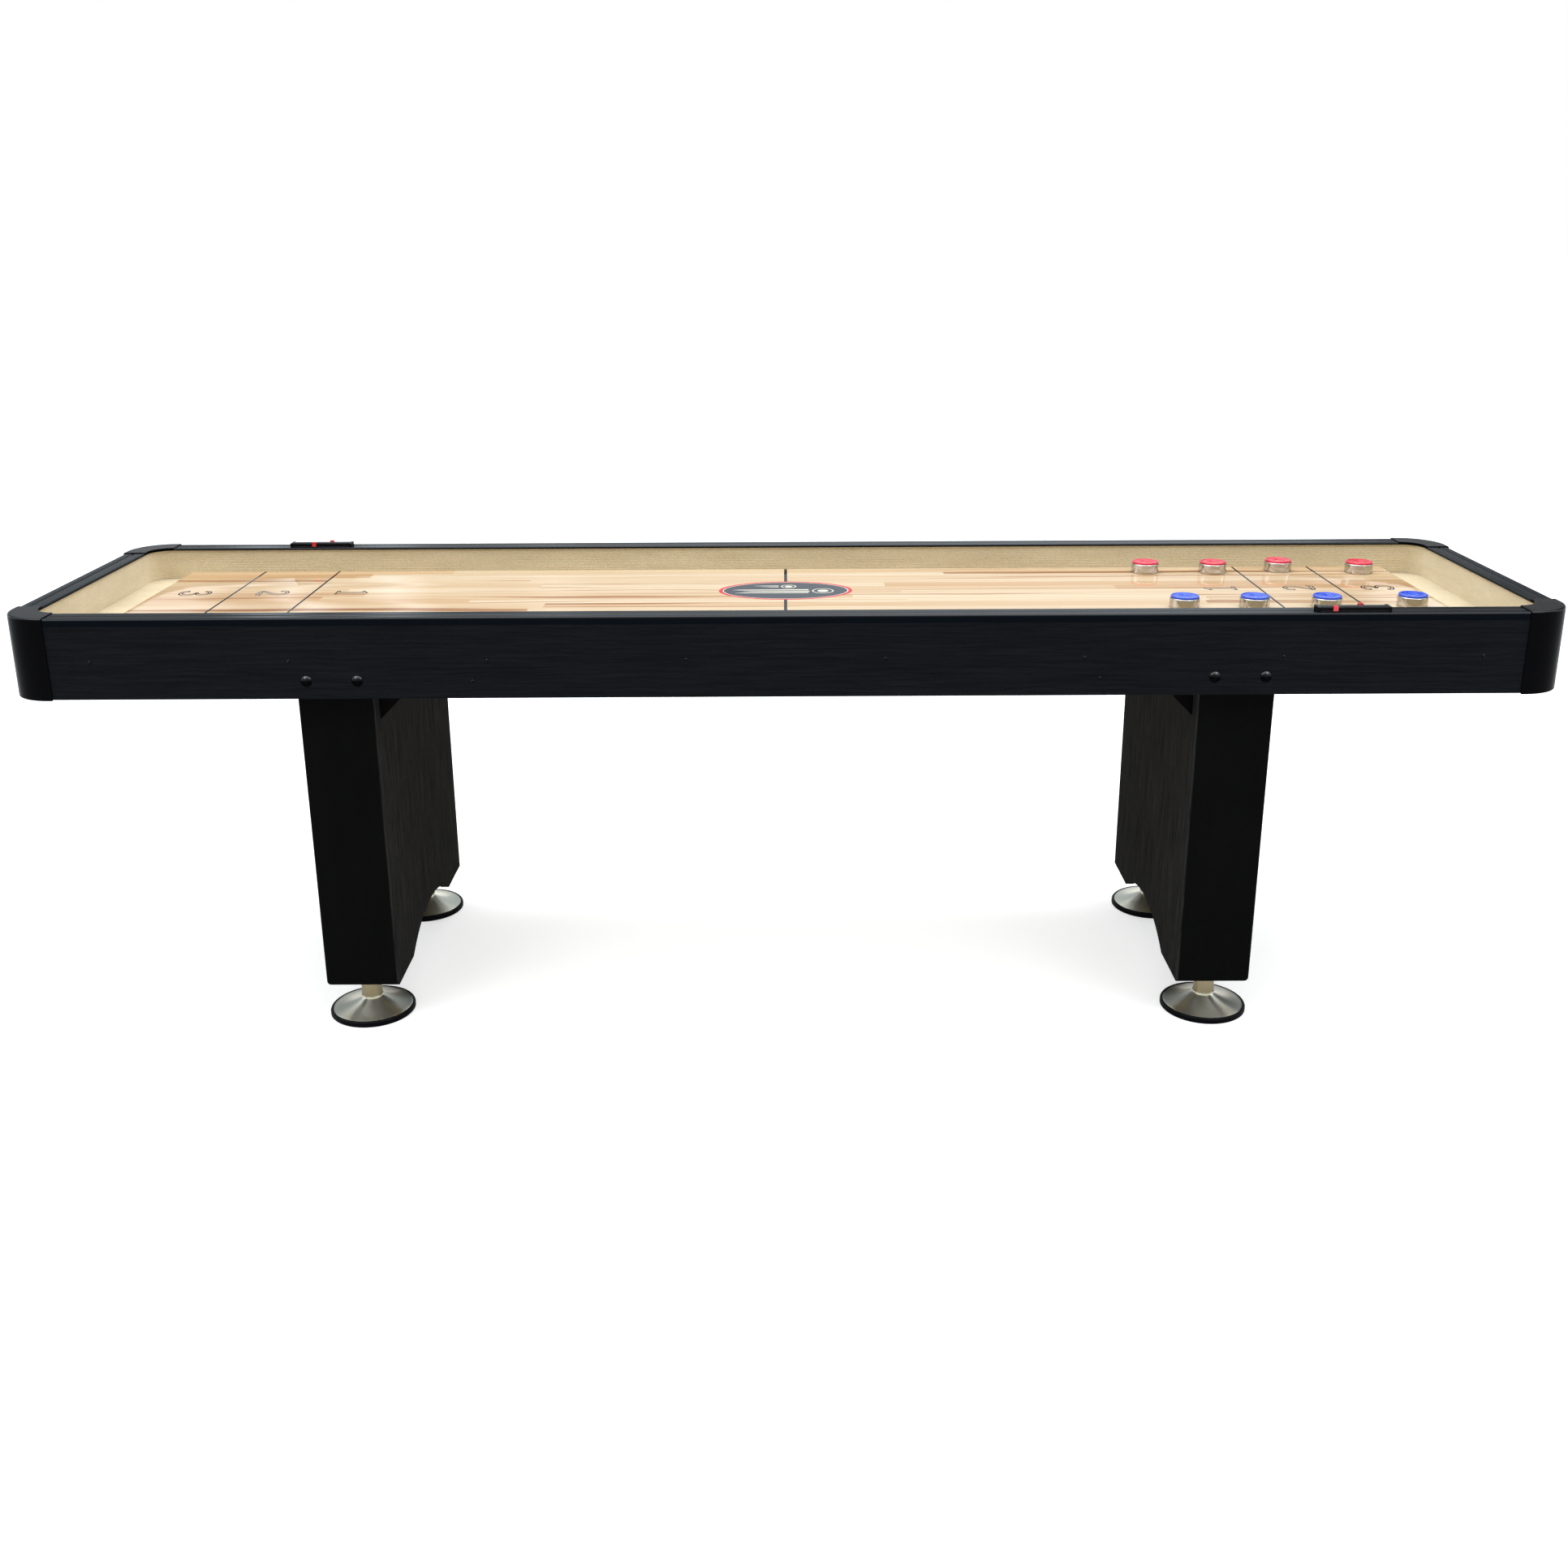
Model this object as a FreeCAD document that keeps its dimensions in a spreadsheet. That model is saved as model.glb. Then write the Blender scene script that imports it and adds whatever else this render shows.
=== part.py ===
import FreeCAD, Part
import Sketcher
import os
from types import SimpleNamespace

# A nine-foot shuffleboard table: a rail-edged tray that holds a raised maple board with a
# carpeted gutter round it, on two hollow pedestal legs with four screw-down feet.
# Origin: floor level, under the middle of the table. +X runs along the board, +Y to the rear,
# +Z up. Millimetres throughout.

# ---------------------------------------------------------------- driving dimensions

DIMENSIONS = {
    "half_length": (1371.5, "table centre to the outer face of an end apron"),
    "half_width": (340.0, "table centre to the outer face of a side apron"),
    "rail_top": (800.0, "floor to the top of the rails"),
    "rail_seat": (786.0, "floor to the top edge of the aprons"),
    "lip_under": (795.5, "floor to the underside of the rail's inner lip"),
    "apron_bottom": (654.4, "floor to the bottom edge of the aprons"),
    "apron_thick": (38.0, "thickness of every apron"),
    "side_lip": (8.0, "how far a side rail hangs in over the gutter"),
    "end_lip": (6.0, "how far an end rail hangs in over the gutter"),
    "lip_round": (3.5, "rounding of a rail's inner edge"),
    "bead_round": (5.0, "rounding of a rail's outer edge"),
    "groove_far": (24.0, "outer face of a rail to the far edge of its groove"),
    "groove_near": (16.0, "outer face of a rail to the near edge of its groove"),
    "groove_bend": (5.0, "radius of the groove's round bottom"),
    "inner_bend": (46.0, "corner radius inside the aprons"),
    "flange_bend": (40.0, "inner corner radius of a corner cap"),
    "outer_bend": (76.0, "outer corner radius of the cabinet"),
    "end_seam": (244.0, "table centre to the seam where an end rail meets a cap"),
    "cap_proud": (2.5, "how far a corner cap stands out from the aprons"),
    "cap_wall": (3.0, "wall of a corner cap's skirt"),
    "cap_rise": (1.5, "how far a cap stands above the rails"),
    "cap_drop": (1.5, "how far a cap reaches below the aprons"),
    "cap_round": (4.0, "rounding of a cap's top outer edge"),
    "block_gap": (0.3, "gap between a corner block and its cap"),
    "floor_top": (735.0, "floor to the gutter floor"),
    "floor_thick": (18.0, "thickness of the gutter floor panel"),
    "board_thick": (34.0, "thickness of the playing board"),
    "board_half_length": (1219.0, "half the playing board's length"),
    "board_half_width": (203.0, "half the playing board's width"),
    "board_round": (2.0, "eased top edge of the playing board"),
    "liner_thick": (3.0, "thickness of the carpet liner"),
    "bearer_place": (548.5, "table centre to the middle of a cross bearer"),
    "bearer_wide": (38.0, "width of a cross bearer"),
    "bearer_tall": (57.0, "height of a cross bearer"),
    "leg_place": (802.0, "table centre to the middle of a leg"),
    "leg_wide": (137.0, "size of a leg along the table"),
    "leg_bottom": (78.0, "floor to the bottom of a leg"),
    "post_thick": (40.0, "thickness of a leg's end post"),
    "post_round": (8.0, "rounding of a post's upright edges"),
    "panel_thick": (18.0, "thickness of a leg's side panels"),
    "arch_half": (173.0, "half the width of the arch in a leg panel"),
    "arch_rise": (49.0, "height of the arch in a leg panel"),
    "gusset_leg": (123.0, "length of a gusset's two short sides"),
    "gusset_face": (269.0, "table centre line to a gusset's outer face, across the table"),
    "gusset_thick": (18.0, "thickness of a gusset"),
    "foot_place": (242.0, "table centre line to the middle of a foot, across the table"),
    "foot_block_long": (84.0, "size of a foot block across the table"),
    "foot_block_tall": (60.0, "height of a foot block"),
    "insert_radius": (12.0, "outer radius of a threaded insert"),
    "insert_tall": (45.0, "length of a threaded insert"),
    "insert_fit": (0.1, "gap between an insert and its block"),
    "stud_radius": (8.0, "radius of a foot's stud"),
    "stud_fit": (0.08, "running gap between a stud and its insert"),
    "stud_tall": (40.0, "length of stud above a foot's stem"),
    "stem_radius": (19.3, "radius of a foot's stem"),
    "pad_radius": (80.0, "outer radius of a foot's rubber ring"),
    "pad_tall": (12.0, "height of a foot's rubber ring"),
    "pad_floor": (3.0, "rubber under a foot's metal base"),
    "pad_round": (4.0, "height of the rounding of the rubber ring's top edge"),
    "pad_bend": (6.0, "radius of the curve of that rounding"),
    "pad_chamfer": (2.0, "chamfer of the rubber ring's bottom edge"),
    "base_radius": (75.7, "radius of a foot's metal base"),
    "base_gap": (0.3, "gap between the metal base and the rubber ring"),
    "base_edge": (11.0, "floor to the upper edge of a foot's metal rim"),
    "flare_top": (31.0, "floor to where a foot's flare meets its stem"),
    "flare_bend": (120.0, "radius of the hollow curve of a foot's flare"),
    "bolt_place": (794.5, "table centre to the middle of a pair of leg bolts"),
    "bolt_spread": (44.5, "half the distance between a pair of leg bolts"),
    "bolt_level": (686.0, "floor to the leg bolts"),
    "bolt_radius": (4.0, "shank radius of a leg bolt"),
    "bolt_length": (72.0, "shank length of a leg bolt"),
    "bolt_clearance": (0.5, "gap round a leg bolt in its bore"),
    "bolt_head_radius": (10.0, "radius of a leg bolt's domed head"),
    "bolt_head_rise": (4.5, "height of a leg bolt's domed head"),
    "leg_insert_radius": (6.5, "outer radius of the threaded insert that takes a leg bolt"),
    "leg_insert_long": (36.0, "length of that insert"),
    "screw_pitch": (347.0, "distance between apron screws along a side"),
    "screw_level": (722.0, "floor to the row of apron screws"),
    "low_screw_level": (685.0, "floor to the bearer screws"),
    "screw_radius": (2.0, "shank radius of an apron screw"),
    "screw_length": (60.0, "shank length of an apron screw"),
    "screw_fit": (0.1, "gap round a screw in its bore"),
    "screw_head_radius": (3.0, "radius of an apron screw's head"),
    "screw_head_rise": (1.2, "height of an apron screw's head"),
    "puck_radius": (27.0, "radius of a puck's steel weight"),
    "puck_weight_tall": (18.6, "height of a puck's steel weight"),
    "puck_cap_radius": (25.5, "radius of a puck's plastic cap"),
    "puck_cap_tall": (3.8, "height of a puck's plastic cap"),
    "puck_edge": (1.2, "eased edges of a puck"),
    "puck_ride": (0.3, "how far the wax beads on the board hold a puck above it"),
    "puck_well": (12.0, "radius of the well in a weight that takes its cap"),
    "puck_well_deep": (7.0, "depth of that well"),
    "puck_spigot_fit": (0.3, "gap between a cap's spigot and its well"),
    "puck_dish": (0.8, "depth of the dish in a cap's top"),
    "puck_dish_radius": (20.0, "radius of the dish in a cap's top"),
    "scorer_long": (128.0, "length of a scorer bar"),
    "scorer_deep": (24.0, "depth of a scorer bar"),
    "scorer_tall": (8.5, "height of a scorer bar"),
    "scorer_stop": (5.0, "solid end of a scorer bar that stops its sliders"),
    "scorer_round": (0.8, "eased edges of a scorer bar"),
    "track_face": (1.0, "depth of a slider's track in a bar's face and top"),
    "track_foot": (1.5, "height of a bar's face under a slider's track"),
    "track_top": (5.5, "width of a slider's track over a bar's top"),
    "slider_wide": (8.4, "length of a slider along its bar"),
    "slider_gap": (0.2, "gap between a slider and its track"),
    "slider_proud": (0.8, "how far a slider stands out from the bar's face"),
    "slider_rise": (2.6, "how far a slider stands above the bar's top"),
    "cut_spare": (1.0, "how far a cutting outline runs past the solid that it cuts"),
}

FRONT, REAR = -1, 1
LEFT, RIGHT = -1, 1
SIDE_NAMES = {FRONT: "front", REAR: "rear"}
END_NAMES = {LEFT: "left", RIGHT: "right"}
CORNERS = [(side, end) for side in (FRONT, REAR) for end in (LEFT, RIGHT)]

# Where each puck stands on the board, from the middle of the table outwards.
RED_PUCKS = [(727.0, 155.0), (862.0, 150.0), (998.0, 165.0), (1155.0, 144.5)]
BLUE_PUCKS = [(733.0, -158.0), (861.0, -160.0), (993.0, -162.0), (1152.5, -155.0)]

# Each scorer: its middle, and where the sliders on its front and rear faces stand.
SCORERS = {
    "front": {"middle": (985.0, -321.0), "sliders": {FRONT: 951.5, REAR: 1000.5}},
    "rear": {"middle": (-979.0, 311.5), "sliders": {FRONT: -992.5, REAR: -959.5}},
}

doc = FreeCAD.newDocument("ShuffleboardTable")
nodes = []


# ---------------------------------------------------------------- sizes and expressions

class Size:
    """A number together with the sheet expression that yields it."""

    def __init__(self, value, text):
        self.value = value
        self.text = text

    def combine(self, other, value, sign):
        return Size(value, f"({self.text} {sign} {as_size(other).text})")

    def __add__(self, other):
        return self.combine(other, self.value + as_size(other).value, "+")

    def __sub__(self, other):
        return self.combine(other, self.value - as_size(other).value, "-")

    def __mul__(self, other):
        return self.combine(other, self.value * as_size(other).value, "*")

    def __truediv__(self, other):
        return self.combine(other, self.value / as_size(other).value, "/")

    def __rsub__(self, other):
        return as_size(other) - self

    def __neg__(self):
        return self * -1

    __radd__ = __add__
    __rmul__ = __mul__


def as_size(number):
    """A Size as it is, or a plain number made into one."""
    if isinstance(number, Size):
        return number
    return Size(float(number), f"({float(number)})")


def make_sheet():
    """Write the driving dimensions into a spreadsheet, and return one Size for each."""
    sheet = doc.addObject("Spreadsheet::Sheet", "Sizes")
    for row, (name, (value, meaning)) in enumerate(DIMENSIONS.items(), start=1):
        sheet.set(f"A{row}", name)
        sheet.set(f"B{row}", str(value))
        sheet.set(f"C{row}", meaning)
        sheet.setAlias(f"B{row}", name)
    doc.recompute()
    return SimpleNamespace(**{
        name: Size(value, f"Sizes.{name}") for name, (value, _) in DIMENSIONS.items()
    })


dim = make_sheet()


def bind(item, path, size):
    """Bind one property of a document object to the sheet."""
    item.setExpression(path, as_size(size).text)


def place(item, point, rotation=None):
    """Put an object at a point, optionally turned, with its place bound to the sheet."""
    if rotation is not None:
        item.Placement = FreeCAD.Placement(FreeCAD.Vector(0, 0, 0), rotation)
    for axis, size in zip("xyz", point):
        bind(item, f"Placement.Base.{axis}", size)
    return item


def node(item, label):
    """Keep an object as one sub-part of the table, under its own name."""
    item.Label = label
    nodes.append(item)
    return item


# ---------------------------------------------------------------- solids from primitives

TURN_TO_Y = {
    FRONT: FreeCAD.Rotation(FreeCAD.Vector(1, 0, 0), 90),
    REAR: FreeCAD.Rotation(FreeCAD.Vector(1, 0, 0), -90),
}


def box(name, low, high):
    """A box between two corners."""
    item = doc.addObject("Part::Box", name)
    for path, start, end in zip(("Length", "Width", "Height"), low, high):
        bind(item, path, as_size(end) - start)
    return place(item, low)


def ordered(first, second):
    """The smaller and the larger of two sizes."""
    first, second = as_size(first), as_size(second)
    return (first, second) if first.value <= second.value else (second, first)


def box_between(name, x_pair, y_pair, z_pair):
    """A box whose faces are given in pairs, in either order."""
    pairs = [ordered(*pair) for pair in (x_pair, y_pair, z_pair)]
    return box(name, [pair[0] for pair in pairs], [pair[1] for pair in pairs])


def cylinder(name, radius, height, base, rotation=None):
    """A cylinder standing on a base point, upright unless it is turned."""
    item = doc.addObject("Part::Cylinder", name)
    bind(item, "Radius", radius)
    bind(item, "Height", height)
    return place(item, base, rotation)


def dome(name, radius, rise, base, rotation):
    """The cap of a sphere, with its flat face on the base point."""
    item = doc.addObject("Part::Sphere", name)
    ball = (radius * radius + rise * rise) / (rise * 2)
    sink = ball - rise
    bind(item, "Radius", ball)
    item.setExpression("Angle1", f"asin({(sink / ball).text})")
    outward = rotation.multVec(FreeCAD.Vector(0, 0, 1))
    centre = [as_size(b) - sink * round(o) for b, o in zip(base, outward)]
    return place(item, centre, rotation)


def cut(name, base, tool):
    """One object with another taken away."""
    item = doc.addObject("Part::Cut", name)
    item.Base = base
    item.Tool = tool
    return item


def fuse(name, items):
    """Several touching objects made into one solid."""
    item = doc.addObject("Part::MultiFuse", name)
    item.Shapes = items
    return item


def group(name, items):
    """Several separate solids kept together."""
    item = doc.addObject("Part::Compound", name)
    item.Links = items
    return item


# ---------------------------------------------------------------- solids from sketches

def new_body(name):
    """An empty body."""
    return doc.addObject("PartDesign::Body", name)


def new_sketch(body, plane, offset=0):
    """A sketch on one of a body's own origin planes, moved along the plane's normal."""
    sketch = body.newObject("Sketcher::SketchObject", f"{body.Name}_sketch")
    support = next(f for f in body.Origin.OriginFeatures if f.Role == plane)
    sketch.AttachmentSupport = [(support, "")]
    sketch.MapMode = "FlatFace"
    bind(sketch, "AttachmentOffset.Base.z", offset)
    return sketch


def pin_point(sketch, edge, end, point):
    """Fix one end of a sketched edge at sheet-driven coordinates."""
    for kind, size in zip(("DistanceX", "DistanceY"), point):
        number = sketch.addConstraint(
            Sketcher.Constraint(kind, -1, 1, edge, end, as_size(size).value))
        bind(sketch, f"Constraints[{number}]", size)


def arc_edge(start, end, radius, side):
    """An arc between two points. Side 1 bulges to the right of the way, -1 to the left."""
    chord = end - start
    across = FreeCAD.Vector(chord.y, -chord.x, 0).normalize()
    sagitta_side = (radius ** 2 - (chord.Length / 2) ** 2) ** 0.5
    centre = (start + end) / 2 - across * side * sagitta_side
    middle = centre + across * side * radius
    return Part.Arc(start, middle, end)


def outline(sketch, points, arcs=None):
    """A closed outline through the points. Arcs gives the edges that are round, by the number
    of the point they start from, as (radius, side)."""
    arcs = arcs or {}
    spots = [FreeCAD.Vector(as_size(x).value, as_size(y).value, 0) for x, y in points]
    edges = []
    starts = []
    for number, spot in enumerate(spots):
        next_spot = spots[(number + 1) % len(spots)]
        if number in arcs:
            radius, side = arcs[number]
            edge = arc_edge(spot, next_spot, as_size(radius).value, side)
            # A sketch stores an arc anticlockwise, so a clockwise one starts at its far end.
            starts.append(1 if side == 1 else 2)
        else:
            edge = Part.LineSegment(spot, next_spot)
            starts.append(1)
        edges.append(sketch.addGeometry(edge, False))
    for number, edge in enumerate(edges):
        following = (number + 1) % len(edges)
        sketch.addConstraint(Sketcher.Constraint(
            "Coincident", edge, 3 - starts[number], edges[following], starts[following]))
        pin_point(sketch, edge, starts[number], points[number])
        if number in arcs:
            radius = as_size(arcs[number][0])
            bend = sketch.addConstraint(Sketcher.Constraint("Radius", edge, radius.value))
            bind(sketch, f"Constraints[{bend}]", radius)


def pad(body, plane, offset, length, outlines):
    """Extrude one or more outlines along the normal of an origin plane."""
    sketch = new_sketch(body, plane, offset)
    for points, arcs in outlines:
        outline(sketch, points, arcs)
    feature = body.newObject("PartDesign::Pad", f"{body.Name}_pad")
    feature.Profile = sketch
    bind(feature, "Length", length)
    sketch.Visibility = False
    return feature


def pocket(body, plane, offset, length, points):
    """Cut an outline out of a body on both sides of an origin plane, and see that it cut."""
    doc.recompute()
    before = body.Shape.Volume
    sketch = new_sketch(body, plane, offset)
    outline(sketch, points)
    feature = body.newObject("PartDesign::Pocket", f"{body.Name}_pocket")
    feature.Profile = sketch
    feature.Midplane = True
    bind(feature, "Length", length)
    doc.recompute()
    if body.Shape.Volume >= before:
        raise RuntimeError(f"{feature.Name} cut nothing")
    return feature


def turned(name, points, arcs=None):
    """A body of revolution about +Z, from an outline of (radius, height) points."""
    body = new_body(name)
    sketch = new_sketch(body, "XZ_Plane")
    outline(sketch, points, arcs)
    feature = body.newObject("PartDesign::Revolution", f"{name}_turn")
    feature.Profile = sketch
    feature.ReferenceAxis = (sketch, ["V_Axis"])
    feature.Angle = 360
    return body


def round_edges(body, radius, wanted):
    """Round the edges of a body for which wanted(edge) is true."""
    doc.recompute()
    base = body.Tip
    names = [f"Edge{i}" for i, edge in enumerate(base.Shape.Edges, start=1) if wanted(edge)]
    feature = body.newObject("PartDesign::Fillet", f"{body.Name}_fillet")
    feature.Base = (base, names)
    bind(feature, "Radius", radius)
    return feature


def edge_is_flat_at(level):
    """A test for edges that lie in the level plane."""
    def test(edge):
        return all(abs(vertex.Z - level.value) < 0.01 for vertex in edge.Vertexes)
    return test


# ---------------------------------------------------------------- shared places

side_inner = dim.half_width - dim.apron_thick
end_inner = dim.half_length - dim.apron_thick
rail_side_inner = side_inner - dim.side_lip
rail_end_inner = end_inner - dim.end_lip
side_seam = rail_end_inner - dim.flange_bend
floor_under = dim.floor_top - dim.floor_thick
board_top = dim.floor_top + dim.board_thick
cap_top = dim.rail_top + dim.cap_rise
cap_bottom = dim.apron_bottom - dim.cap_drop


# ---------------------------------------------------------------- fasteners

def bolt_spots():
    """Every leg bolt, as (side, place along the table)."""
    for side in (FRONT, REAR):
        for end in (LEFT, RIGHT):
            for step in (-1, 1):
                yield side, (dim.bolt_place + dim.bolt_spread * step) * end


def screw_spots():
    """Every apron screw, as (side, place along the table, level)."""
    for side in (FRONT, REAR):
        for end in (LEFT, RIGHT):
            for number in range(4):
                yield side, dim.screw_pitch * (number + 0.5) * end, dim.screw_level
            yield side, dim.bearer_place * end, dim.low_screw_level


def make_bore(name, side, along, level, radius, length):
    """A bore that runs in from a side apron's outer face."""
    base = (along, dim.half_width * side, level)
    return cylinder(name, radius, length, base, TURN_TO_Y[-side])


def make_insert_seat(name, side, along, radius):
    """A cylinder that runs in from an end post's outer face, at a leg bolt."""
    base = (along, side_inner * side, dim.bolt_level)
    return cylinder(name, radius, dim.leg_insert_long, base, TURN_TO_Y[-side])


def make_bores():
    """The bores for the leg bolts, for their inserts and for the apron screws, used as
    cutting tools."""
    bolt_bores = [
        make_bore(f"bolt_bore_{i}", side, along, dim.bolt_level,
                  dim.bolt_radius + dim.bolt_clearance, dim.apron_thick)
        for i, (side, along) in enumerate(bolt_spots())
    ]
    insert_seats = [
        make_insert_seat(f"insert_seat_{i}", side, along,
                         dim.leg_insert_radius + dim.insert_fit)
        for i, (side, along) in enumerate(bolt_spots())
    ]
    screw_bores = [
        make_bore(f"screw_bore_{i}", side, along, level,
                  dim.screw_radius + dim.screw_fit, dim.screw_length + dim.screw_fit)
        for i, (side, along, level) in enumerate(screw_spots())
    ]
    return (group("bolt_bores", bolt_bores), group("insert_seats", insert_seats),
            group("screw_bores", screw_bores))


def make_fastener(name, side, along, level, shank, head):
    """A round-headed fastener driven in from a side apron's outer face. Shank and head are
    each (radius, length)."""
    face = (along, dim.half_width * side, level)
    rod = cylinder(f"{name}_shank", shank[0], shank[1], face, TURN_TO_Y[-side])
    cap = dome(f"{name}_head", head[0], head[1], face, TURN_TO_Y[side])
    return fuse(name, [rod, cap])


def make_fasteners():
    bolts = [
        make_fastener(f"leg_bolt_{i}", side, along, dim.bolt_level,
                      (dim.bolt_radius, dim.bolt_length),
                      (dim.bolt_head_radius, dim.bolt_head_rise))
        for i, (side, along) in enumerate(bolt_spots())
    ]
    screws = [
        make_fastener(f"apron_screw_{i}", side, along, level,
                      (dim.screw_radius, dim.screw_length),
                      (dim.screw_head_radius, dim.screw_head_rise))
        for i, (side, along, level) in enumerate(screw_spots())
    ]
    node(group("leg_bolts", bolts), "leg_bolts")
    node(group("apron_screws", screws), "apron_screws")


def make_leg_inserts():
    """The threaded inserts in the end posts that the leg bolts draw up against."""
    inserts = []
    for i, (side, along) in enumerate(bolt_spots()):
        sleeve = make_insert_seat(f"leg_insert_blank_{i}", side, along, dim.leg_insert_radius)
        thread = make_insert_seat(f"leg_insert_bore_{i}", side, along,
                                  dim.bolt_radius + dim.screw_fit)
        inserts.append(cut(f"leg_insert_{i}", sleeve, thread))
    node(group("leg_inserts", inserts), "leg_inserts")


# ---------------------------------------------------------------- cabinet

def make_aprons(bolt_bores, screw_bores):
    """The four boards that make the cabinet's sides."""
    levels = (dim.apron_bottom, dim.rail_seat)
    for side in (FRONT, REAR):
        blank = box_between(f"side_apron_blank_{SIDE_NAMES[side]}", (-side_seam, side_seam),
                            (side_inner * side, dim.half_width * side), levels)
        bores = group(f"side_apron_bores_{SIDE_NAMES[side]}", [bolt_bores, screw_bores])
        label = f"side_apron_{SIDE_NAMES[side]}"
        node(cut(label, blank, bores), label)
    for end in (LEFT, RIGHT):
        label = f"end_apron_{END_NAMES[end]}"
        board = box_between(label, (end_inner * end, dim.half_length * end),
                            (-dim.end_seam, dim.end_seam), levels)
        node(board, label)


def rail_profile(inner, seat, outer, way):
    """A rail's section: a thin lip over the gutter, a shallow round groove, and a rounded
    outer edge. Way is 1 where outwards is positive, and -1 where it is negative."""
    points = [
        (seat * way, dim.rail_seat),
        (outer * way, dim.rail_seat),
        (outer * way, dim.rail_top - dim.bead_round),
        ((outer - dim.bead_round) * way, dim.rail_top),
        ((outer - dim.groove_near) * way, dim.rail_top),
        ((outer - dim.groove_far) * way, dim.rail_top),
        ((inner + dim.lip_round) * way, dim.rail_top),
        (inner * way, dim.rail_top - dim.lip_round),
        (inner * way, dim.lip_under),
        (seat * way, dim.lip_under),
    ]
    arcs = {
        2: (dim.bead_round, way),
        4: (dim.groove_bend, -way),
        6: (dim.lip_round, way),
    }
    return points, arcs


def make_rails():
    for side in (FRONT, REAR):
        label = f"top_rail_{SIDE_NAMES[side]}"
        body = new_body(label)
        section = rail_profile(rail_side_inner, side_inner, dim.half_width, side)
        pad(body, "YZ_Plane", -side_seam, side_seam * 2, [section])
        node(body, label)
    for end in (LEFT, RIGHT):
        label = f"top_rail_{END_NAMES[end]}"
        body = new_body(label)
        section = rail_profile(rail_end_inner, end_inner, dim.half_length, end)
        pad(body, "XZ_Plane", -dim.end_seam, dim.end_seam * 2, [section])
        node(body, label)


def corner_outline(side, end, outer, outer_bend, inner, inner_bend):
    """The plan of an L round one corner of the cabinet, from the seam in a side rail to the
    seam in an end rail. Outer and inner are each (along, across)."""
    points = [
        (side_seam, outer[1]),
        (outer[0] - outer_bend, outer[1]),
        (outer[0], outer[1] - outer_bend),
        (outer[0], dim.end_seam),
        (inner[0], dim.end_seam),
        (inner[0], inner[1] - inner_bend),
        (inner[0] - inner_bend, inner[1]),
    ]
    placed = [(x * end, y * side) for x, y in points]
    turn = side * end
    arcs = {1: (outer_bend, -turn), 5: (inner_bend, turn)}
    return placed, arcs


def make_corner_cap(side, end):
    """A moulded cap: a flange level with the rails, on a skirt that wraps the corner."""
    label = f"corner_cap_{SIDE_NAMES[side]}_{END_NAMES[end]}"
    body = new_body(label)
    outer = (dim.half_length + dim.cap_proud, dim.half_width + dim.cap_proud)
    bend = dim.outer_bend + dim.cap_proud
    skirt_inner = (outer[0] - dim.cap_wall, outer[1] - dim.cap_wall)
    lip = (rail_end_inner, rail_side_inner)
    seat = (end_inner, side_inner)
    skirt = corner_outline(side, end, outer, bend, skirt_inner, bend - dim.cap_wall)
    seat_ring = corner_outline(side, end, outer, bend, seat, dim.inner_bend)
    flange = corner_outline(side, end, outer, bend, lip, dim.flange_bend)
    pad(body, "XY_Plane", cap_bottom, dim.rail_seat - cap_bottom, [close_seam(skirt, side)])
    pad(body, "XY_Plane", dim.rail_seat, dim.lip_under - dim.rail_seat, [close_seam(seat_ring, side)])
    pad(body, "XY_Plane", dim.lip_under, cap_top - dim.lip_under, [close_seam(flange, side)])

    def is_outer_top(edge):
        middle = edge.valueAt((edge.FirstParameter + edge.LastParameter) / 2)
        on_side = abs(middle.y * side - outer[1].value) < 0.1
        on_end = abs(middle.x * end - outer[0].value) < 0.1
        on_bend = edge.Curve.TypeId == "Part::GeomCircle" and middle.x * end > end_inner.value
        return edge_is_flat_at(cap_top)(edge) and (on_side or on_end or on_bend)

    round_edges(body, dim.cap_round, is_outer_top)
    node(body, label)


def close_seam(section, side):
    """Add the corner where the inner wall meets the seam, if the inner bend stops short."""
    points, arcs = section
    last_x, last_y = points[-1]
    if abs(abs(last_x.value) - side_seam.value) > 0.01:
        points = points + [(points[0][0], last_y)]
    return points, arcs


def make_corner_blocks():
    """The wooden blocks that join the aprons at the corners, behind the caps."""
    blocks = []
    for side, end in CORNERS:
        body = new_body(f"corner_block_{SIDE_NAMES[side]}_{END_NAMES[end]}")
        inset = dim.cap_wall - dim.cap_proud + dim.block_gap
        outer = (dim.half_length - inset, dim.half_width - inset)
        section = corner_outline(side, end, outer, dim.outer_bend - inset,
                                 (end_inner, side_inner), dim.inner_bend)
        pad(body, "XY_Plane", dim.apron_bottom, dim.rail_seat - dim.apron_bottom,
            [close_seam(section, side)])
        blocks.append(body)
    node(group("corner_blocks", blocks), "corner_blocks")


def rounded_plan(half_long, half_wide, bend):
    """A rectangle centred on the table, with round corners."""
    points = []
    arcs = {}
    for end, side in ((RIGHT, FRONT), (RIGHT, REAR), (LEFT, REAR), (LEFT, FRONT)):
        near_side = ((half_long - bend) * end, half_wide * side)
        near_end = (half_long * end, (half_wide - bend) * side)
        arcs[len(points)] = (bend, 1)
        points += [near_side, near_end] if end * side < 0 else [near_end, near_side]
    return points, arcs


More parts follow.
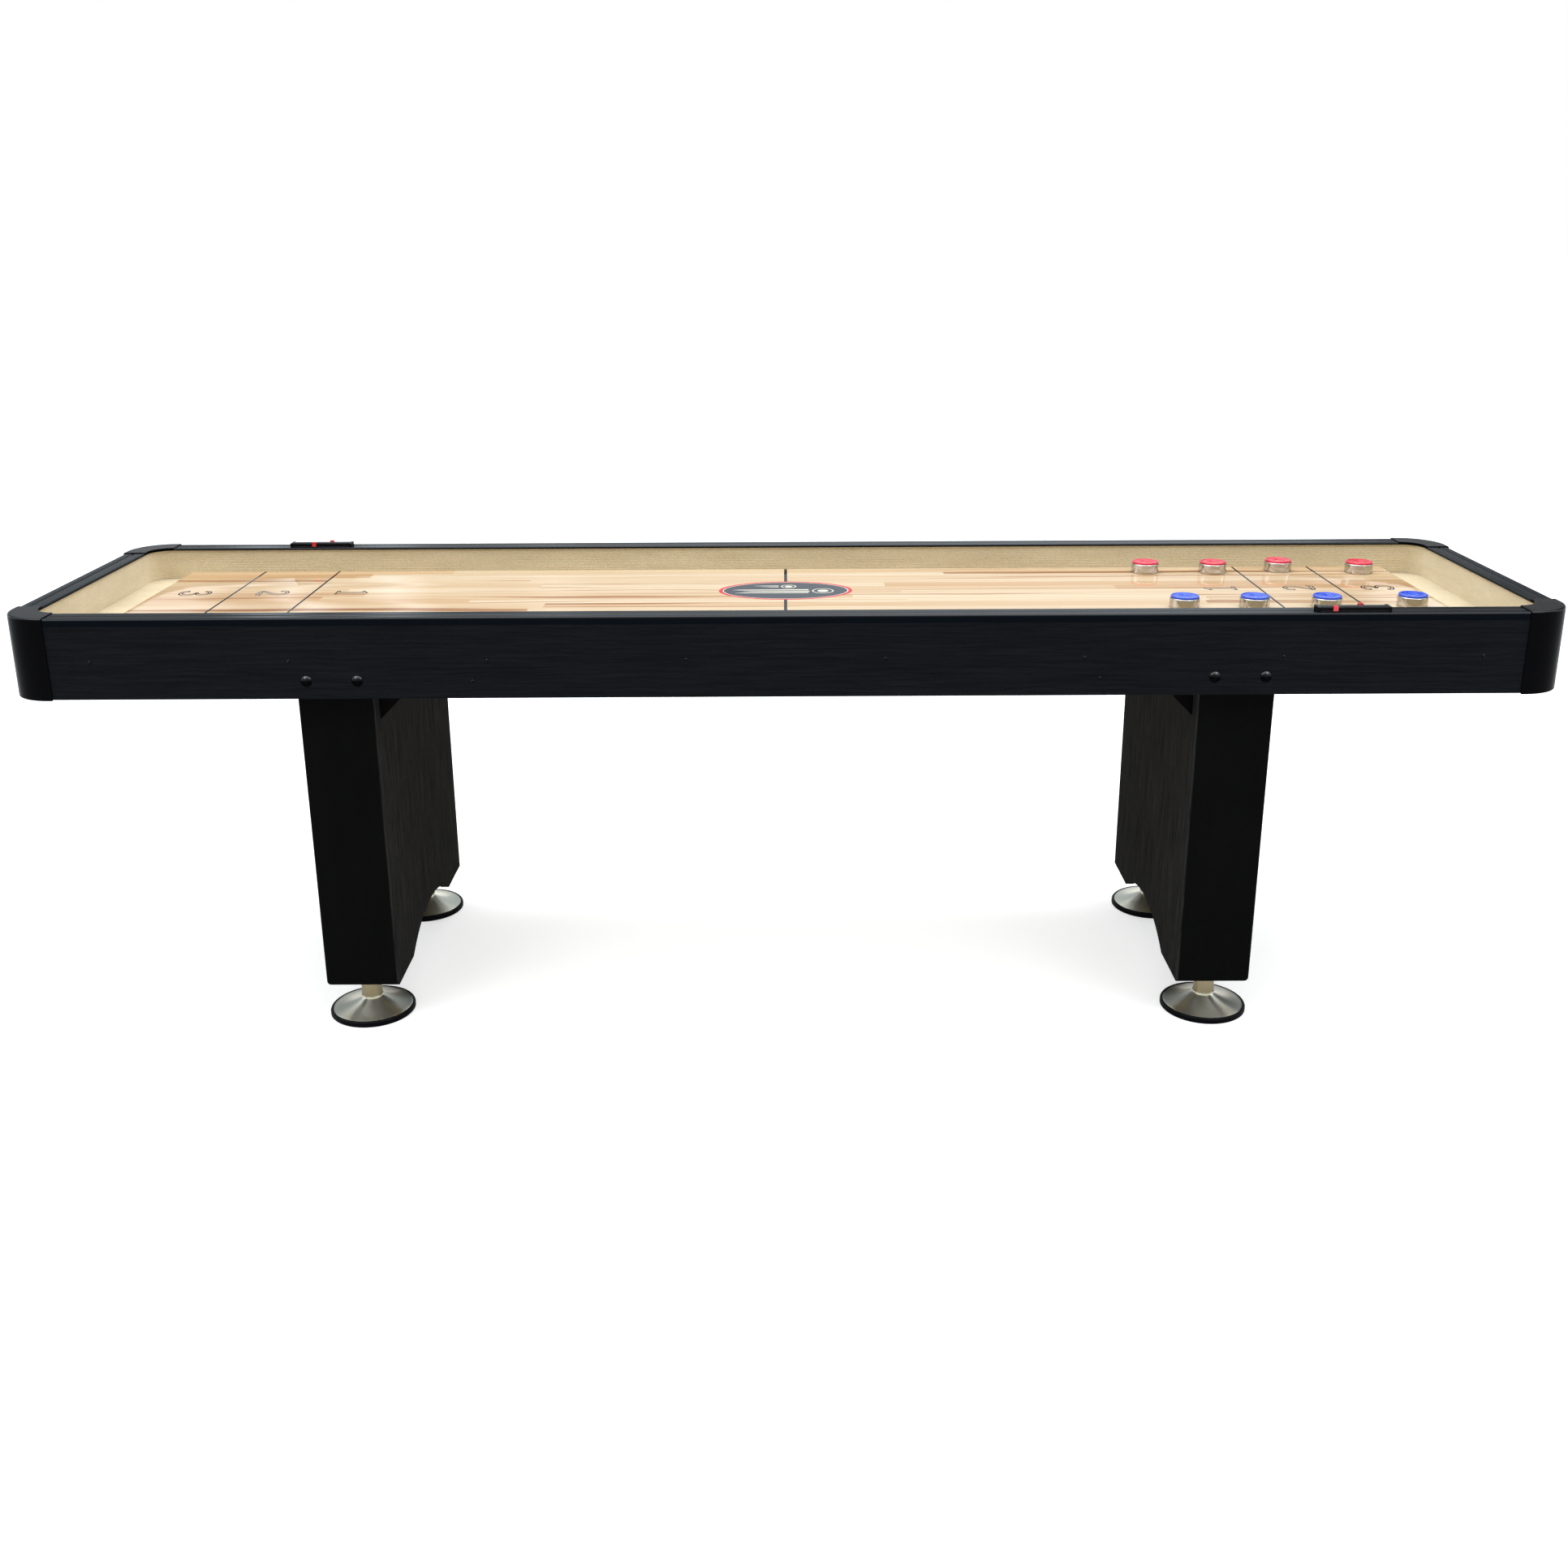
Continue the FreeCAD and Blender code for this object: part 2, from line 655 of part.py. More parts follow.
def make_gutter(screw_bores):
    """The panel under the board, and the carpet strip on the walls round it."""
    panel = new_body("gutter_floor_panel")
    pad(panel, "XY_Plane", floor_under, dim.floor_thick,
        [rounded_plan(end_inner, side_inner, dim.inner_bend)])
    node(cut("gutter_floor", panel, screw_bores), "gutter_floor")

    liner = new_body("gutter_liner")
    pad(liner, "XY_Plane", dim.floor_top, dim.lip_under - dim.floor_top, [
        rounded_plan(end_inner, side_inner, dim.inner_bend),
        rounded_plan(end_inner - dim.liner_thick, side_inner - dim.liner_thick,
                     dim.inner_bend - dim.liner_thick),
    ])
    node(liner, "gutter_liner")


def make_board():
    """The playing board, with its top edges eased."""
    body = new_body("playfield_board")
    length, width = dim.board_half_length, dim.board_half_width
    corners = [(-length, -width), (length, -width), (length, width), (-length, width)]
    pad(body, "XY_Plane", dim.floor_top, dim.board_thick, [(corners, None)])
    round_edges(body, dim.board_round, edge_is_flat_at(board_top))
    node(body, "playfield_board")


def make_bearers(screw_bores):
    """The two cross bearers that stiffen the gutter floor between the legs."""
    bearers = []
    for end in (LEFT, RIGHT):
        middle = dim.bearer_place * end
        half = dim.bearer_wide / 2
        bearers.append(box_between(f"bearer_blank_{END_NAMES[end]}",
                                   (middle - half, middle + half),
                                   (-side_inner, side_inner),
                                   (floor_under - dim.bearer_tall, floor_under)))
    blanks = group("bearer_blanks", bearers)
    node(cut("cross_bearers", blanks, screw_bores), "cross_bearers")


# ---------------------------------------------------------------- legs

def is_outer_foot(end):
    """A test for the bottom edges of a leg's outer side."""
    outer_face = (dim.leg_place + dim.leg_wide / 2) * end

    def test(edge):
        on_side = all(abs(vertex.X - outer_face.value) < 0.01 for vertex in edge.Vertexes)
        low = max(vertex.Z for vertex in edge.Vertexes) < (dim.leg_bottom + dim.arch_rise).value
        return on_side and low

    return test


def make_end_post(name, side, end):
    """One end of a leg: a thick board with rounded outer edges."""
    body = new_body(name)
    near = dim.leg_place * end - dim.leg_wide / 2
    far = dim.leg_place * end + dim.leg_wide / 2
    face = side_inner * side
    back = (side_inner - dim.post_thick) * side
    plan = [(near, face), (far, face), (far, back), (near, back)]
    pad(body, "XY_Plane", dim.leg_bottom, floor_under - dim.leg_bottom, [(plan, None)])

    def is_outer(edge):
        on_face = all(abs(vertex.Y - face.value) < 0.01 for vertex in edge.Vertexes)
        upright = abs(edge.Vertexes[0].Z - edge.Vertexes[-1].Z) > 1
        on_bottom = edge_is_flat_at(dim.leg_bottom)(edge)
        return (on_face and (upright or on_bottom)) or is_outer_foot(end)(edge)

    round_edges(body, dim.post_round, is_outer)
    return body


def make_leg_panel(label, x_low, x_high, end, outer):
    """A side of a leg, with a shallow arch along its bottom edge. On the outer side that edge
    is rounded like the posts'."""
    body = new_body(label)
    half = side_inner - dim.post_thick
    bend = (dim.arch_half * dim.arch_half + dim.arch_rise * dim.arch_rise) / (dim.arch_rise * 2)
    points = [
        (-half, dim.leg_bottom),
        (-dim.arch_half, dim.leg_bottom),
        (dim.arch_half, dim.leg_bottom),
        (half, dim.leg_bottom),
        (half, floor_under),
        (-half, floor_under),
    ]
    pad(body, "YZ_Plane", x_low, x_high - x_low, [(points, {1: (bend, -1)})])
    if outer:
        round_edges(body, dim.post_round, is_outer_foot(end))
    node(body, label)


def make_leg(end, insert_seats):
    """A hollow leg: two end posts with a panel on each side between them."""
    name = f"leg_{END_NAMES[end]}"
    posts = [make_end_post(f"{name}_post_{SIDE_NAMES[side]}", side, end)
             for side in (FRONT, REAR)]
    blanks = group(f"{name}_post_blanks", posts)
    node(cut(f"{name}_end_posts", blanks, insert_seats), f"{name}_end_posts")
    inner_face = (dim.leg_place - dim.leg_wide / 2) * end
    outer_face = (dim.leg_place + dim.leg_wide / 2) * end
    inner_back = inner_face + dim.panel_thick * end
    outer_back = outer_face - dim.panel_thick * end
    make_leg_panel(f"{name}_inner_panel", *ordered(inner_face, inner_back), end, False)
    make_leg_panel(f"{name}_outer_panel", *ordered(outer_back, outer_face), end, True)


def make_gussets():
    """The right-angled braces between each leg's inner face and the gutter floor."""
    gussets = []
    for side, end in CORNERS:
        body = new_body(f"gusset_{SIDE_NAMES[side]}_{END_NAMES[end]}")
        corner = (dim.leg_place - dim.leg_wide / 2) * end
        tip = (dim.leg_place - dim.leg_wide / 2 - dim.gusset_leg) * end
        points = [(corner, floor_under), (tip, floor_under), (corner, floor_under - dim.gusset_leg)]
        # The plane's normal points to the front, and a pad grows that way from its offset.
        back_face = dim.gusset_face - dim.gusset_thick if side == FRONT else -dim.gusset_face
        pad(body, "XZ_Plane", back_face, dim.gusset_thick, [(points, None)])
        gussets.append(body)
    node(group("leg_gussets", gussets), "leg_gussets")


def foot_spots():
    """Every foot, as (side, end, x, y)."""
    for side, end in CORNERS:
        yield side, end, dim.leg_place * end, dim.foot_place * side


def make_foot_mountings():
    """The block inside a leg over each foot, and the threaded insert in it."""
    blocks = []
    inserts = []
    half_wide = dim.leg_wide / 2 - dim.panel_thick
    for side, end, x, y in foot_spots():
        tag = f"{SIDE_NAMES[side]}_{END_NAMES[end]}"
        outer_y = (side_inner - dim.post_thick) * side
        inner_y = (side_inner - dim.post_thick - dim.foot_block_long) * side
        top = dim.leg_bottom + dim.foot_block_tall
        blank = box_between(f"foot_block_blank_{tag}", (x - half_wide, x + half_wide),
                            (inner_y, outer_y), (dim.leg_bottom, top))
        seat = cylinder(f"foot_block_bore_{tag}", dim.insert_radius + dim.insert_fit,
                        dim.foot_block_tall, (x, y, dim.leg_bottom))
        blocks.append(cut(f"foot_block_{tag}", blank, seat))
        sleeve = cylinder(f"insert_blank_{tag}", dim.insert_radius, dim.insert_tall,
                          (x, y, dim.leg_bottom))
        thread = cylinder(f"insert_bore_{tag}", dim.stud_radius + dim.stud_fit,
                          dim.insert_tall, (x, y, dim.leg_bottom))
        inserts.append(cut(f"insert_{tag}", sleeve, thread))
    node(group("foot_blocks", blocks), "foot_blocks")
    node(group("foot_inserts", inserts), "foot_inserts")


def make_feet():
    """Each foot: a flared metal base with a stem and a stud, in a rubber ring."""
    bore = dim.base_radius + dim.base_gap
    for side, end, x, y in foot_spots():
        tag = f"{SIDE_NAMES[side]}_{END_NAMES[end]}"
        ring = turned(f"foot_pad_{tag}", [
            (0, 0),
            (dim.pad_radius - dim.pad_chamfer, 0),
            (dim.pad_radius, dim.pad_chamfer),
            (dim.pad_radius, dim.pad_tall - dim.pad_round),
            (bore, dim.pad_tall),
            (bore, dim.pad_floor),
            (0, dim.pad_floor),
        ], {3: (dim.pad_bend, 1)})
        place(ring, (x, y, 0))
        node(ring, f"foot_pad_{tag}")
        base = turned(f"foot_base_{tag}", [
            (0, dim.pad_floor),
            (dim.base_radius, dim.pad_floor),
            (dim.base_radius, dim.base_edge),
            (dim.stem_radius, dim.flare_top),
            (dim.stem_radius, dim.leg_bottom),
            (dim.stud_radius, dim.leg_bottom),
            (dim.stud_radius, dim.leg_bottom + dim.stud_tall),
            (0, dim.leg_bottom + dim.stud_tall),
        ], {2: (dim.flare_bend, -1)})
        place(base, (x, y, 0))
        node(base, f"foot_base_{tag}")


# ---------------------------------------------------------------- pucks and scorers

def make_puck(colour, number, spot):
    """A puck: a steel weight with a well in its top, and a plastic cap that plugs into it."""
    top = dim.puck_weight_tall
    edge = dim.puck_edge
    weight = turned(f"puck_weight_{colour}_{number}", [
        (0, 0),
        (dim.puck_radius - edge, 0),
        (dim.puck_radius, edge),
        (dim.puck_radius, top - edge),
        (dim.puck_radius - edge, top),
        (dim.puck_well, top),
        (dim.puck_well, top - dim.puck_well_deep),
        (0, top - dim.puck_well_deep),
    ], {1: (edge, 1), 3: (edge, 1)})
    spigot = dim.puck_well - dim.puck_spigot_fit
    crown = top + dim.puck_cap_tall
    cap = turned(f"puck_cap_{colour}_{number}", [
        (0, top - dim.puck_well_deep + dim.puck_spigot_fit),
        (spigot, top - dim.puck_well_deep + dim.puck_spigot_fit),
        (spigot, top),
        (dim.puck_cap_radius, top),
        (dim.puck_cap_radius, crown - edge),
        (dim.puck_cap_radius - edge, crown),
        (dim.puck_dish_radius, crown),
        (0, crown - dim.puck_dish),
    ], {4: (edge, 1)})
    for piece, label in ((weight, "puck_weight"), (cap, "puck_cap")):
        place(piece, (spot[0], spot[1], board_top + dim.puck_ride))
        node(piece, f"{label}_{colour}_{number}")


def make_scorer(name, scorer):
    """A scorer: a bar on the rail with a stepped track along each long edge, and a slider
    that hooks over each."""
    along, across = scorer["middle"]
    bar = new_body(f"scorer_bar_{name}")
    half_long, half_deep = dim.scorer_long / 2, dim.scorer_deep / 2
    plan = [(-half_long, -half_deep), (half_long, -half_deep),
            (half_long, half_deep), (-half_long, half_deep)]
    pad(bar, "XY_Plane", 0, dim.scorer_tall, [(plan, None)])
    round_edges(bar, dim.scorer_round, edge_is_flat_at(dim.scorer_tall))
    run = dim.scorer_long - dim.scorer_stop * 2
    shelf = dim.scorer_tall - dim.track_face
    for face in (FRONT, REAR):
        spare = half_deep + dim.cut_spare
        step = half_deep - dim.track_face
        cover = dim.scorer_tall + dim.cut_spare
        pocket(bar, "YZ_Plane", 0, run, [
            (spare * face, dim.track_foot),
            (spare * face, cover),
            ((half_deep - dim.track_top) * face, cover),
            ((half_deep - dim.track_top) * face, shelf),
            (step * face, shelf),
            (step * face, dim.track_foot),
        ])
        slider = new_body(f"scorer_slider_{name}_{SIDE_NAMES[face]}")
        outer = half_deep + dim.slider_proud
        hook = half_deep - dim.track_top + dim.slider_gap
        crown = dim.scorer_tall + dim.slider_rise
        pad(slider, "YZ_Plane", -dim.slider_wide / 2, dim.slider_wide, [([
            (outer * face, dim.track_foot + dim.slider_gap),
            (outer * face, crown),
            (hook * face, crown),
            (hook * face, shelf + dim.slider_gap),
            ((step + dim.slider_gap) * face, shelf + dim.slider_gap),
            ((step + dim.slider_gap) * face, dim.track_foot + dim.slider_gap),
        ], None)])
        place(slider, (scorer["sliders"][face], across, dim.rail_top))
        node(slider, f"scorer_slider_{name}_{SIDE_NAMES[face]}")
    place(bar, (along, across, dim.rail_top))
    node(bar, f"scorer_bar_{name}")


# ---------------------------------------------------------------- the whole table

def build():
    bolt_bores, insert_seats, screw_bores = make_bores()
    make_aprons(bolt_bores, screw_bores)
    make_rails()
    make_corner_blocks()
    for side, end in CORNERS:
        make_corner_cap(side, end)
    make_gutter(screw_bores)
    make_board()
    make_bearers(screw_bores)
    for end in (LEFT, RIGHT):
        make_leg(end, insert_seats)
    make_gussets()
    make_foot_mountings()
    make_feet()
    make_fasteners()
    make_leg_inserts()
    for colour, pucks in (("red", RED_PUCKS), ("blue", BLUE_PUCKS)):
        for number, spot in enumerate(pucks, start=1):
            make_puck(colour, number, spot)
    for name, scorer in SCORERS.items():
        make_scorer(name, scorer)


def check():
    """Stop if any object failed, or any sub-part is empty or broken."""
    doc.recompute()
    failed = [item.Name for item in doc.Objects if {"Invalid", "Error"} & set(item.State)]
    if failed:
        raise RuntimeError(f"failed objects: {failed}")
    for item in nodes:
        if item.Shape.isNull() or not item.Shape.isValid():
            raise RuntimeError(f"{item.Label} has no valid shape")
        if not item.Shape.Solids:
            raise RuntimeError(f"{item.Label} has no solid")


def export():
    """Write each sub-part to its own STEP file."""
    os.makedirs("parts", exist_ok=True)
    for item in nodes:
        item.Shape.exportStep(f"parts/{item.Label}.step")
        count = len(item.Shape.Solids)
        print(f"{item.Label}: {count} solid(s), {item.Shape.Volume / 1000:.1f} cm3")
    print(f"{len(nodes)} sub-parts")


build()
check()
export()
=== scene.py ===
import math
import random

import bmesh
import bpy
from mathutils import Matrix, Vector


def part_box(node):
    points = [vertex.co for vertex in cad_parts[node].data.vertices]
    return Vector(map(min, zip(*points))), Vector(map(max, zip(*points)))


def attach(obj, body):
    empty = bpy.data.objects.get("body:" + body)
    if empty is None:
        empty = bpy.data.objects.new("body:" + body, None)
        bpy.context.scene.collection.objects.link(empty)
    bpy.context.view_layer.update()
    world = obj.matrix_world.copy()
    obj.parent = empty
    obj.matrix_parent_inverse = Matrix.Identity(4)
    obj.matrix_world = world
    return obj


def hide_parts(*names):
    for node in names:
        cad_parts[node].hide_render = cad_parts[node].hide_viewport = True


# The looks of a nine-foot shuffleboard table: its maple board with score lines and digits, the
# carpeted gutter, the black cabinet, legs and feet, the pucks, and the two scorers on the rails.
# Everything is in metres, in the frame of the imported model.

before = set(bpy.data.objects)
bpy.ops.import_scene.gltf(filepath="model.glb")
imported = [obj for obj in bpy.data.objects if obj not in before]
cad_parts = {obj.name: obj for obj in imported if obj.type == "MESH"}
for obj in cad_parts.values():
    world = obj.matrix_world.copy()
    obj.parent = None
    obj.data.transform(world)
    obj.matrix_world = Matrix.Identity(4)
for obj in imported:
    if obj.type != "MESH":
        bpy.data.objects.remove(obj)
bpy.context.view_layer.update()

MM = 0.001
TABLE = "table"
SIDES = {"front": -1, "rear": 1}
ENDS = {"left": -1, "right": 1}
CORNERS = [f"{side}_{end}" for side in SIDES for end in ENDS]
PUCKS = [f"{colour}_{number}" for colour in ("red", "blue") for number in range(1, 5)]


# ---------------------------------------------------------------- colours and node trees

def rgb(red, green, blue):
    """A colour in display values of 0 to 255, as the linear numbers that a shader takes."""
    def linear(value):
        value /= 255
        return value / 12.92 if value <= 0.04045 else ((value + 0.055) / 1.055) ** 2.4
    return (linear(red), linear(green), linear(blue), 1.0)


def shifted(colour, times, plus=0.0):
    """A colour made lighter or darker, and kept within what a shader takes."""
    return tuple(min(c * times + plus, 1.0) for c in colour[:3]) + (1.0,)


class Tree:
    """A node tree with short ways to add and join nodes."""

    def __init__(self, tree):
        self.tree = tree

    def feed(self, socket, value):
        """Join an output to a socket, or set the socket's own value."""
        if isinstance(value, bpy.types.NodeSocket):
            self.tree.links.new(value, socket)
        else:
            socket.default_value = value

    def node(self, kind, inputs=None, **settings):
        """Add a shader node, with its settings and its inputs by name or number."""
        item = self.tree.nodes.new("ShaderNode" + kind)
        for name, value in settings.items():
            setattr(item, name, value)
        for name, value in (inputs or {}).items():
            self.feed(item.inputs[name], value)
        return item

    def math(self, operation, first, second=0.0, third=0.0):
        inputs = {0: first, 1: second, 2: third}
        return self.node("Math", inputs, operation=operation).outputs[0]

    def mix(self, share, first, second, blend="MIX"):
        inputs = {0: share, 6: first, 7: second}
        item = self.node("Mix", inputs, data_type="RGBA", blend_type=blend)
        return item.outputs[2]

    def ramp(self, value, stops, interpolation="LINEAR"):
        """A colour ramp through (place, colour) stops. A colour may be one grey number."""
        item = self.node("ValToRGB", {0: value})
        ramp = item.color_ramp
        ramp.interpolation = interpolation
        while len(ramp.elements) < len(stops):
            ramp.elements.new(1.0)
        for element, (place, colour) in zip(ramp.elements, stops):
            element.position = place
            element.color = colour if isinstance(colour, tuple) else (colour,) * 3 + (1.0,)
        return item.outputs[0]

    def span(self, value, low, high, to_low=0.0, to_high=1.0):
        """A value moved from one range to another, 0 to 1 if unsaid, and held inside it."""
        inputs = {0: value, 1: low, 2: high, 3: to_low, 4: to_high}
        return self.node("MapRange", inputs).outputs[0]

    def split(self, vector):
        return self.node("SeparateXYZ", {0: vector}).outputs

    def join(self, x, y, z):
        return self.node("CombineXYZ", {0: x, 1: y, 2: z}).outputs[0]

    def scaled(self, vector, by):
        return self.node("VectorMath", {0: vector, 1: by}, operation="MULTIPLY").outputs[0]

    def moved(self, vector, by):
        return self.node("VectorMath", {0: vector, 1: by}, operation="ADD").outputs[0]

    def noise(self, vector, scale, detail=2.0, roughness=0.5, distortion=0.0):
        inputs = {"Vector": vector, "Scale": scale, "Detail": detail,
                  "Roughness": roughness, "Distortion": distortion}
        return self.node("TexNoise", inputs).outputs[0]


class Finish(Tree):
    """A material with one Principled shader."""

    def __init__(self, name, **sockets):
        self.material = bpy.data.materials.new(name)
        self.material.use_nodes = True
        super().__init__(self.material.node_tree)
        self.shader = self.tree.nodes["Principled BSDF"]
        self.height = None
        for label, value in sockets.items():
            self.set(label.replace("_", " "), value)

    def set(self, label, value):
        self.feed(self.shader.inputs[label], value)

    def place(self):
        """The place of a point in the piece at rest."""
        return self.node("TexCoord").outputs["Object"]

    def local(self):
        """The place of a point relative to the middle of its own turned piece."""
        return self.node("Attribute", attribute_name="local").outputs["Vector"]

    def painted_shine(self, upward, sideways):
        """Painted highlight and shade by facing: a high specular level for faces that look up, and
        a lower one for upright faces, whatever the lamps do.
        """
        up = self.split(self.node("NewGeometry").outputs["Normal"])[2]
        self.set("Specular IOR Level", self.span(up, 0.1, 0.8, sideways, upward))

    def bump(self, height, depth, strength=1.0):
        """Raise the surface by a height of 0 to 1, which stands for a depth in metres."""
        inputs = {"Strength": strength, "Distance": depth, "Height": height}
        item = self.node("Bump", inputs)
        if self.height is not None:
            self.feed(item.inputs["Normal"], self.height)
        self.height = item.outputs[0]
        self.set("Normal", self.height)


# ---------------------------------------------------------------- materials of the cabinet

def grain_axes(finish, along):
    """The place of a point as (along the grain, across it, into it)."""
    x, y, z = finish.split(finish.place())
    order = {"x": (x, z, y), "y": (y, z, x), "z": (z, y, x)}[along]
    return finish.join(*order)


def woodgrain_laminate(name, along, dark, light, roughness, specular):
    """Black laminate with an embossed, slightly wavy wood grain."""
    finish = Finish(name, Specular_IOR_Level=specular)
    place = grain_axes(finish, along)
    drift = finish.noise(finish.scaled(place, (9.0, 14.0, 5.0)), 1.0, 3.0, 0.55)
    wander = finish.moved(place, finish.join(0.0, finish.math("MULTIPLY", drift, 0.014), 0.0))
    bands = finish.noise(finish.scaled(wander, (7.0, 220.0, 30.0)), 1.0, 6.0, 0.7)
    pores = finish.noise(finish.scaled(wander, (30.0, 800.0, 90.0)), 1.0, 2.0, 0.5)
    veins = finish.span(bands, 0.36, 0.66)
    pits = finish.span(pores, 0.34, 0.5)
    tone = finish.math("MULTIPLY", veins, finish.span(pits, 0.0, 1.0, 0.55, 1.0))
    finish.set("Base Color", finish.mix(tone, dark, light))
    finish.set("Roughness", finish.span(tone, 0.0, 1.0, roughness + 0.1, roughness - 0.04))
    finish.bump(pits, 0.12 * MM, 0.6)
    finish.bump(veins, 0.25 * MM, 0.5)
    return finish


def moulded_black(name, colour, roughness, specular, texture_mm=0.7):
    """Satin black moulding: a fine texture, faint cloudiness, a little handling wear and a painted
    highlight on faces that look up.
    """
    finish = Finish(name)
    # Painted highlight: faces that look up get the full specular level, upright faces almost none.
    finish.painted_shine(specular, specular * 0.03)
    place = finish.place()
    texture = finish.noise(place, 1.0 / (texture_mm * MM), 2.0, 0.6)
    cloud = finish.noise(place, 7.0, 4.0, 0.6)
    scuff = finish.noise(finish.scaled(place, (9.0, 9.0, 60.0)), 3.0, 6.0, 0.7)
    marks = finish.span(scuff, 0.62, 0.8)
    paler = shifted(colour, 1.9, 0.002)
    finish.set("Base Color", finish.mix(finish.math("MULTIPLY", marks, 0.6), colour, paler))
    haze = finish.math("MULTIPLY", finish.math("ADD", cloud, marks), 0.09)
    finish.set("Roughness", finish.math("ADD", haze, roughness - 0.05))
    finish.bump(texture, 0.03 * MM, 0.5)
    return finish


def satin_lacquer(name, plain, dark, light):
    """Black lacquer on a leg's end post. The faces that look along the table carry the same
    charcoal grain as the leg's side panels."""
    finish = woodgrain_laminate(name, "z", dark, light, 0.6, 0.0)
    normal = finish.split(finish.node("NewGeometry").outputs["True Normal"])
    facing = finish.math("ABSOLUTE", normal[0])
    on_side = finish.span(facing, 0.55, 0.75)
    grained = finish.shader.inputs["Base Color"].links[0].from_socket
    mottle = finish.noise(finish.scaled(finish.place(), (9.0, 9.0, 3.0)), 2.0, 4.0, 0.6)
    softer = shifted(plain, 1.5)
    finish.set("Base Color", finish.mix(on_side, finish.mix(mottle, plain, softer), grained))
    return finish


def raw_wood(name):
    """Plain sawn softwood, where nobody looks."""
    finish = Finish(name, Roughness=0.7)
    place = grain_axes(finish, "y")
    rings = finish.noise(finish.scaled(place, (1.2, 60.0, 60.0)), 1.0, 4.0, 0.6)
    fibre = finish.noise(finish.scaled(place, (20.0, 900.0, 900.0)), 1.0, 2.0, 0.5)
    tone = finish.ramp(rings, [(0.3, rgb(178, 142, 98)), (0.55, rgb(206, 172, 126)),
                               (0.75, rgb(190, 150, 100))])
    finish.set("Base Color", finish.mix(finish.math("MULTIPLY", fibre, 0.35), tone,
                                        rgb(150, 112, 72)))
    finish.bump(fibre, 0.2 * MM, 0.5)
    return finish


def carpet(name, shade, lighter, pile_mm):
    """Short looped carpet: a tight pile, with soft patches where it has been brushed."""
    finish = Finish(name, Roughness=0.95, Specular_IOR_Level=0.15, Sheen_Weight=0.25,
                    Sheen_Roughness=0.6)
    place = finish.place()
    loops = finish.node("TexVoronoi", {"Vector": place, "Scale": 1.0 / (pile_mm * MM),
                                       "Randomness": 0.85}).outputs["Distance"]
    tufts = finish.noise(place, 0.6 / (pile_mm * MM), 2.0, 0.6)
    patches = finish.noise(finish.scaled(place, (3.0, 5.0, 22.0)), 2.0, 4.0, 0.6)
    tone = finish.mix(finish.span(patches, 0.3, 0.7), shade, lighter)
    fleck = finish.span(tufts, 0.35, 0.65, 0.86, 1.08)
    finish.set("Base Color", finish.mix(1.0, tone, finish.join(fleck, fleck, fleck), "MULTIPLY"))
    finish.bump(loops, 0.5 * MM, 0.6)
    finish.bump(tufts, 0.5 * MM, 0.5)
    return finish


# ---------------------------------------------------------------- materials of the board

BOARD_ROWS = 12
BOARD_COAT = dict(Coat_Weight=0.65, Coat_Roughness=0.04, Coat_IOR=1.5)


def maple(name, row_width, low_y):
    """Clear-coated maple staves, each with a tone and a grain of its own."""
    finish = Finish(name, Roughness=0.5, Specular_IOR_Level=0.1, **BOARD_COAT)
    stave = finish.node("Attribute", attribute_name="stave").outputs["Vector"]
    tone, seed, heart = finish.split(stave)
    place = finish.place()
    own = finish.moved(place, finish.scaled(finish.join(seed, seed, seed), (41.0, 7.0, 3.0)))
    sway = finish.noise(finish.scaled(own, (1.6, 3.0, 3.0)), 1.0, 2.0, 0.5)
    bent = finish.moved(own, finish.join(0.0, finish.math("MULTIPLY", sway, 0.05), 0.0))
    growth = finish.noise(finish.scaled(bent, (1.4, 130.0, 80.0)), 1.0, 4.0, 0.6)
    fibre = finish.noise(finish.scaled(bent, (5.0, 900.0, 500.0)), 1.0, 2.0, 0.5)
    streak = finish.noise(finish.scaled(bent, (0.8, 44.0, 30.0)), 1.0, 3.0, 0.55)
    base = finish.ramp(tone, [
        (0.0, rgb(203, 181, 148)), (0.3, rgb(212, 193, 163)), (0.5, rgb(200, 173, 136)),
        (0.68, rgb(190, 155, 114)), (0.84, rgb(176, 137, 93)), (1.0, rgb(160, 115, 70)),
    ])
    lined = finish.mix(finish.span(growth, 0.42, 0.7, 0.0, 0.5), base, rgb(170, 126, 80))
    threshold = finish.span(heart, 0.0, 1.0, 0.69, 0.5)
    edge = finish.math("SUBTRACT", streak, threshold)
    core = finish.math("MULTIPLY", finish.span(edge, 0.0, 0.05), 0.8)
    deep = finish.span(edge, 0.04, 0.12, 0.0, 0.7)
    hearted = finish.mix(deep, finish.mix(core, lined, rgb(156, 108, 62)), rgb(124, 74, 36))
    fine = finish.mix(finish.math("MULTIPLY", finish.span(fibre, 0.4, 0.7), 0.12),
                      hearted, rgb(150, 110, 70))
    across = finish.math("DIVIDE", finish.math("SUBTRACT", finish.split(place)[1], low_y),
                         row_width)
    from_seam = finish.math("PINGPONG", across, 0.5)
    joint = finish.span(from_seam, 0.004, 0.014, 0.4, 0.0)
    finish.set("Base Color", finish.mix(joint, fine, rgb(120, 78, 46)))
    ripple = finish.noise(place, 26.0, 2.0, 0.5)
    finish.bump(ripple, 0.035 * MM, 0.35)
    return finish


def print_ink(name, colour, specks=0.06):
    """A printed mark under the board's clear coat."""
    finish = Finish(name, Roughness=0.5, Specular_IOR_Level=0.1, **BOARD_COAT)
    place = finish.place()
    mottle = finish.noise(place, 900.0, 3.0, 0.6)
    worn = shifted(colour, 1 - specks, specks * 0.4)
    finish.set("Base Color", finish.mix(finish.span(mottle, 0.5, 0.75), colour, worn))
    finish.bump(finish.noise(place, 26.0, 2.0, 0.5), 0.035 * MM, 0.35)
    return finish


# ---------------------------------------------------------------- materials of the small parts

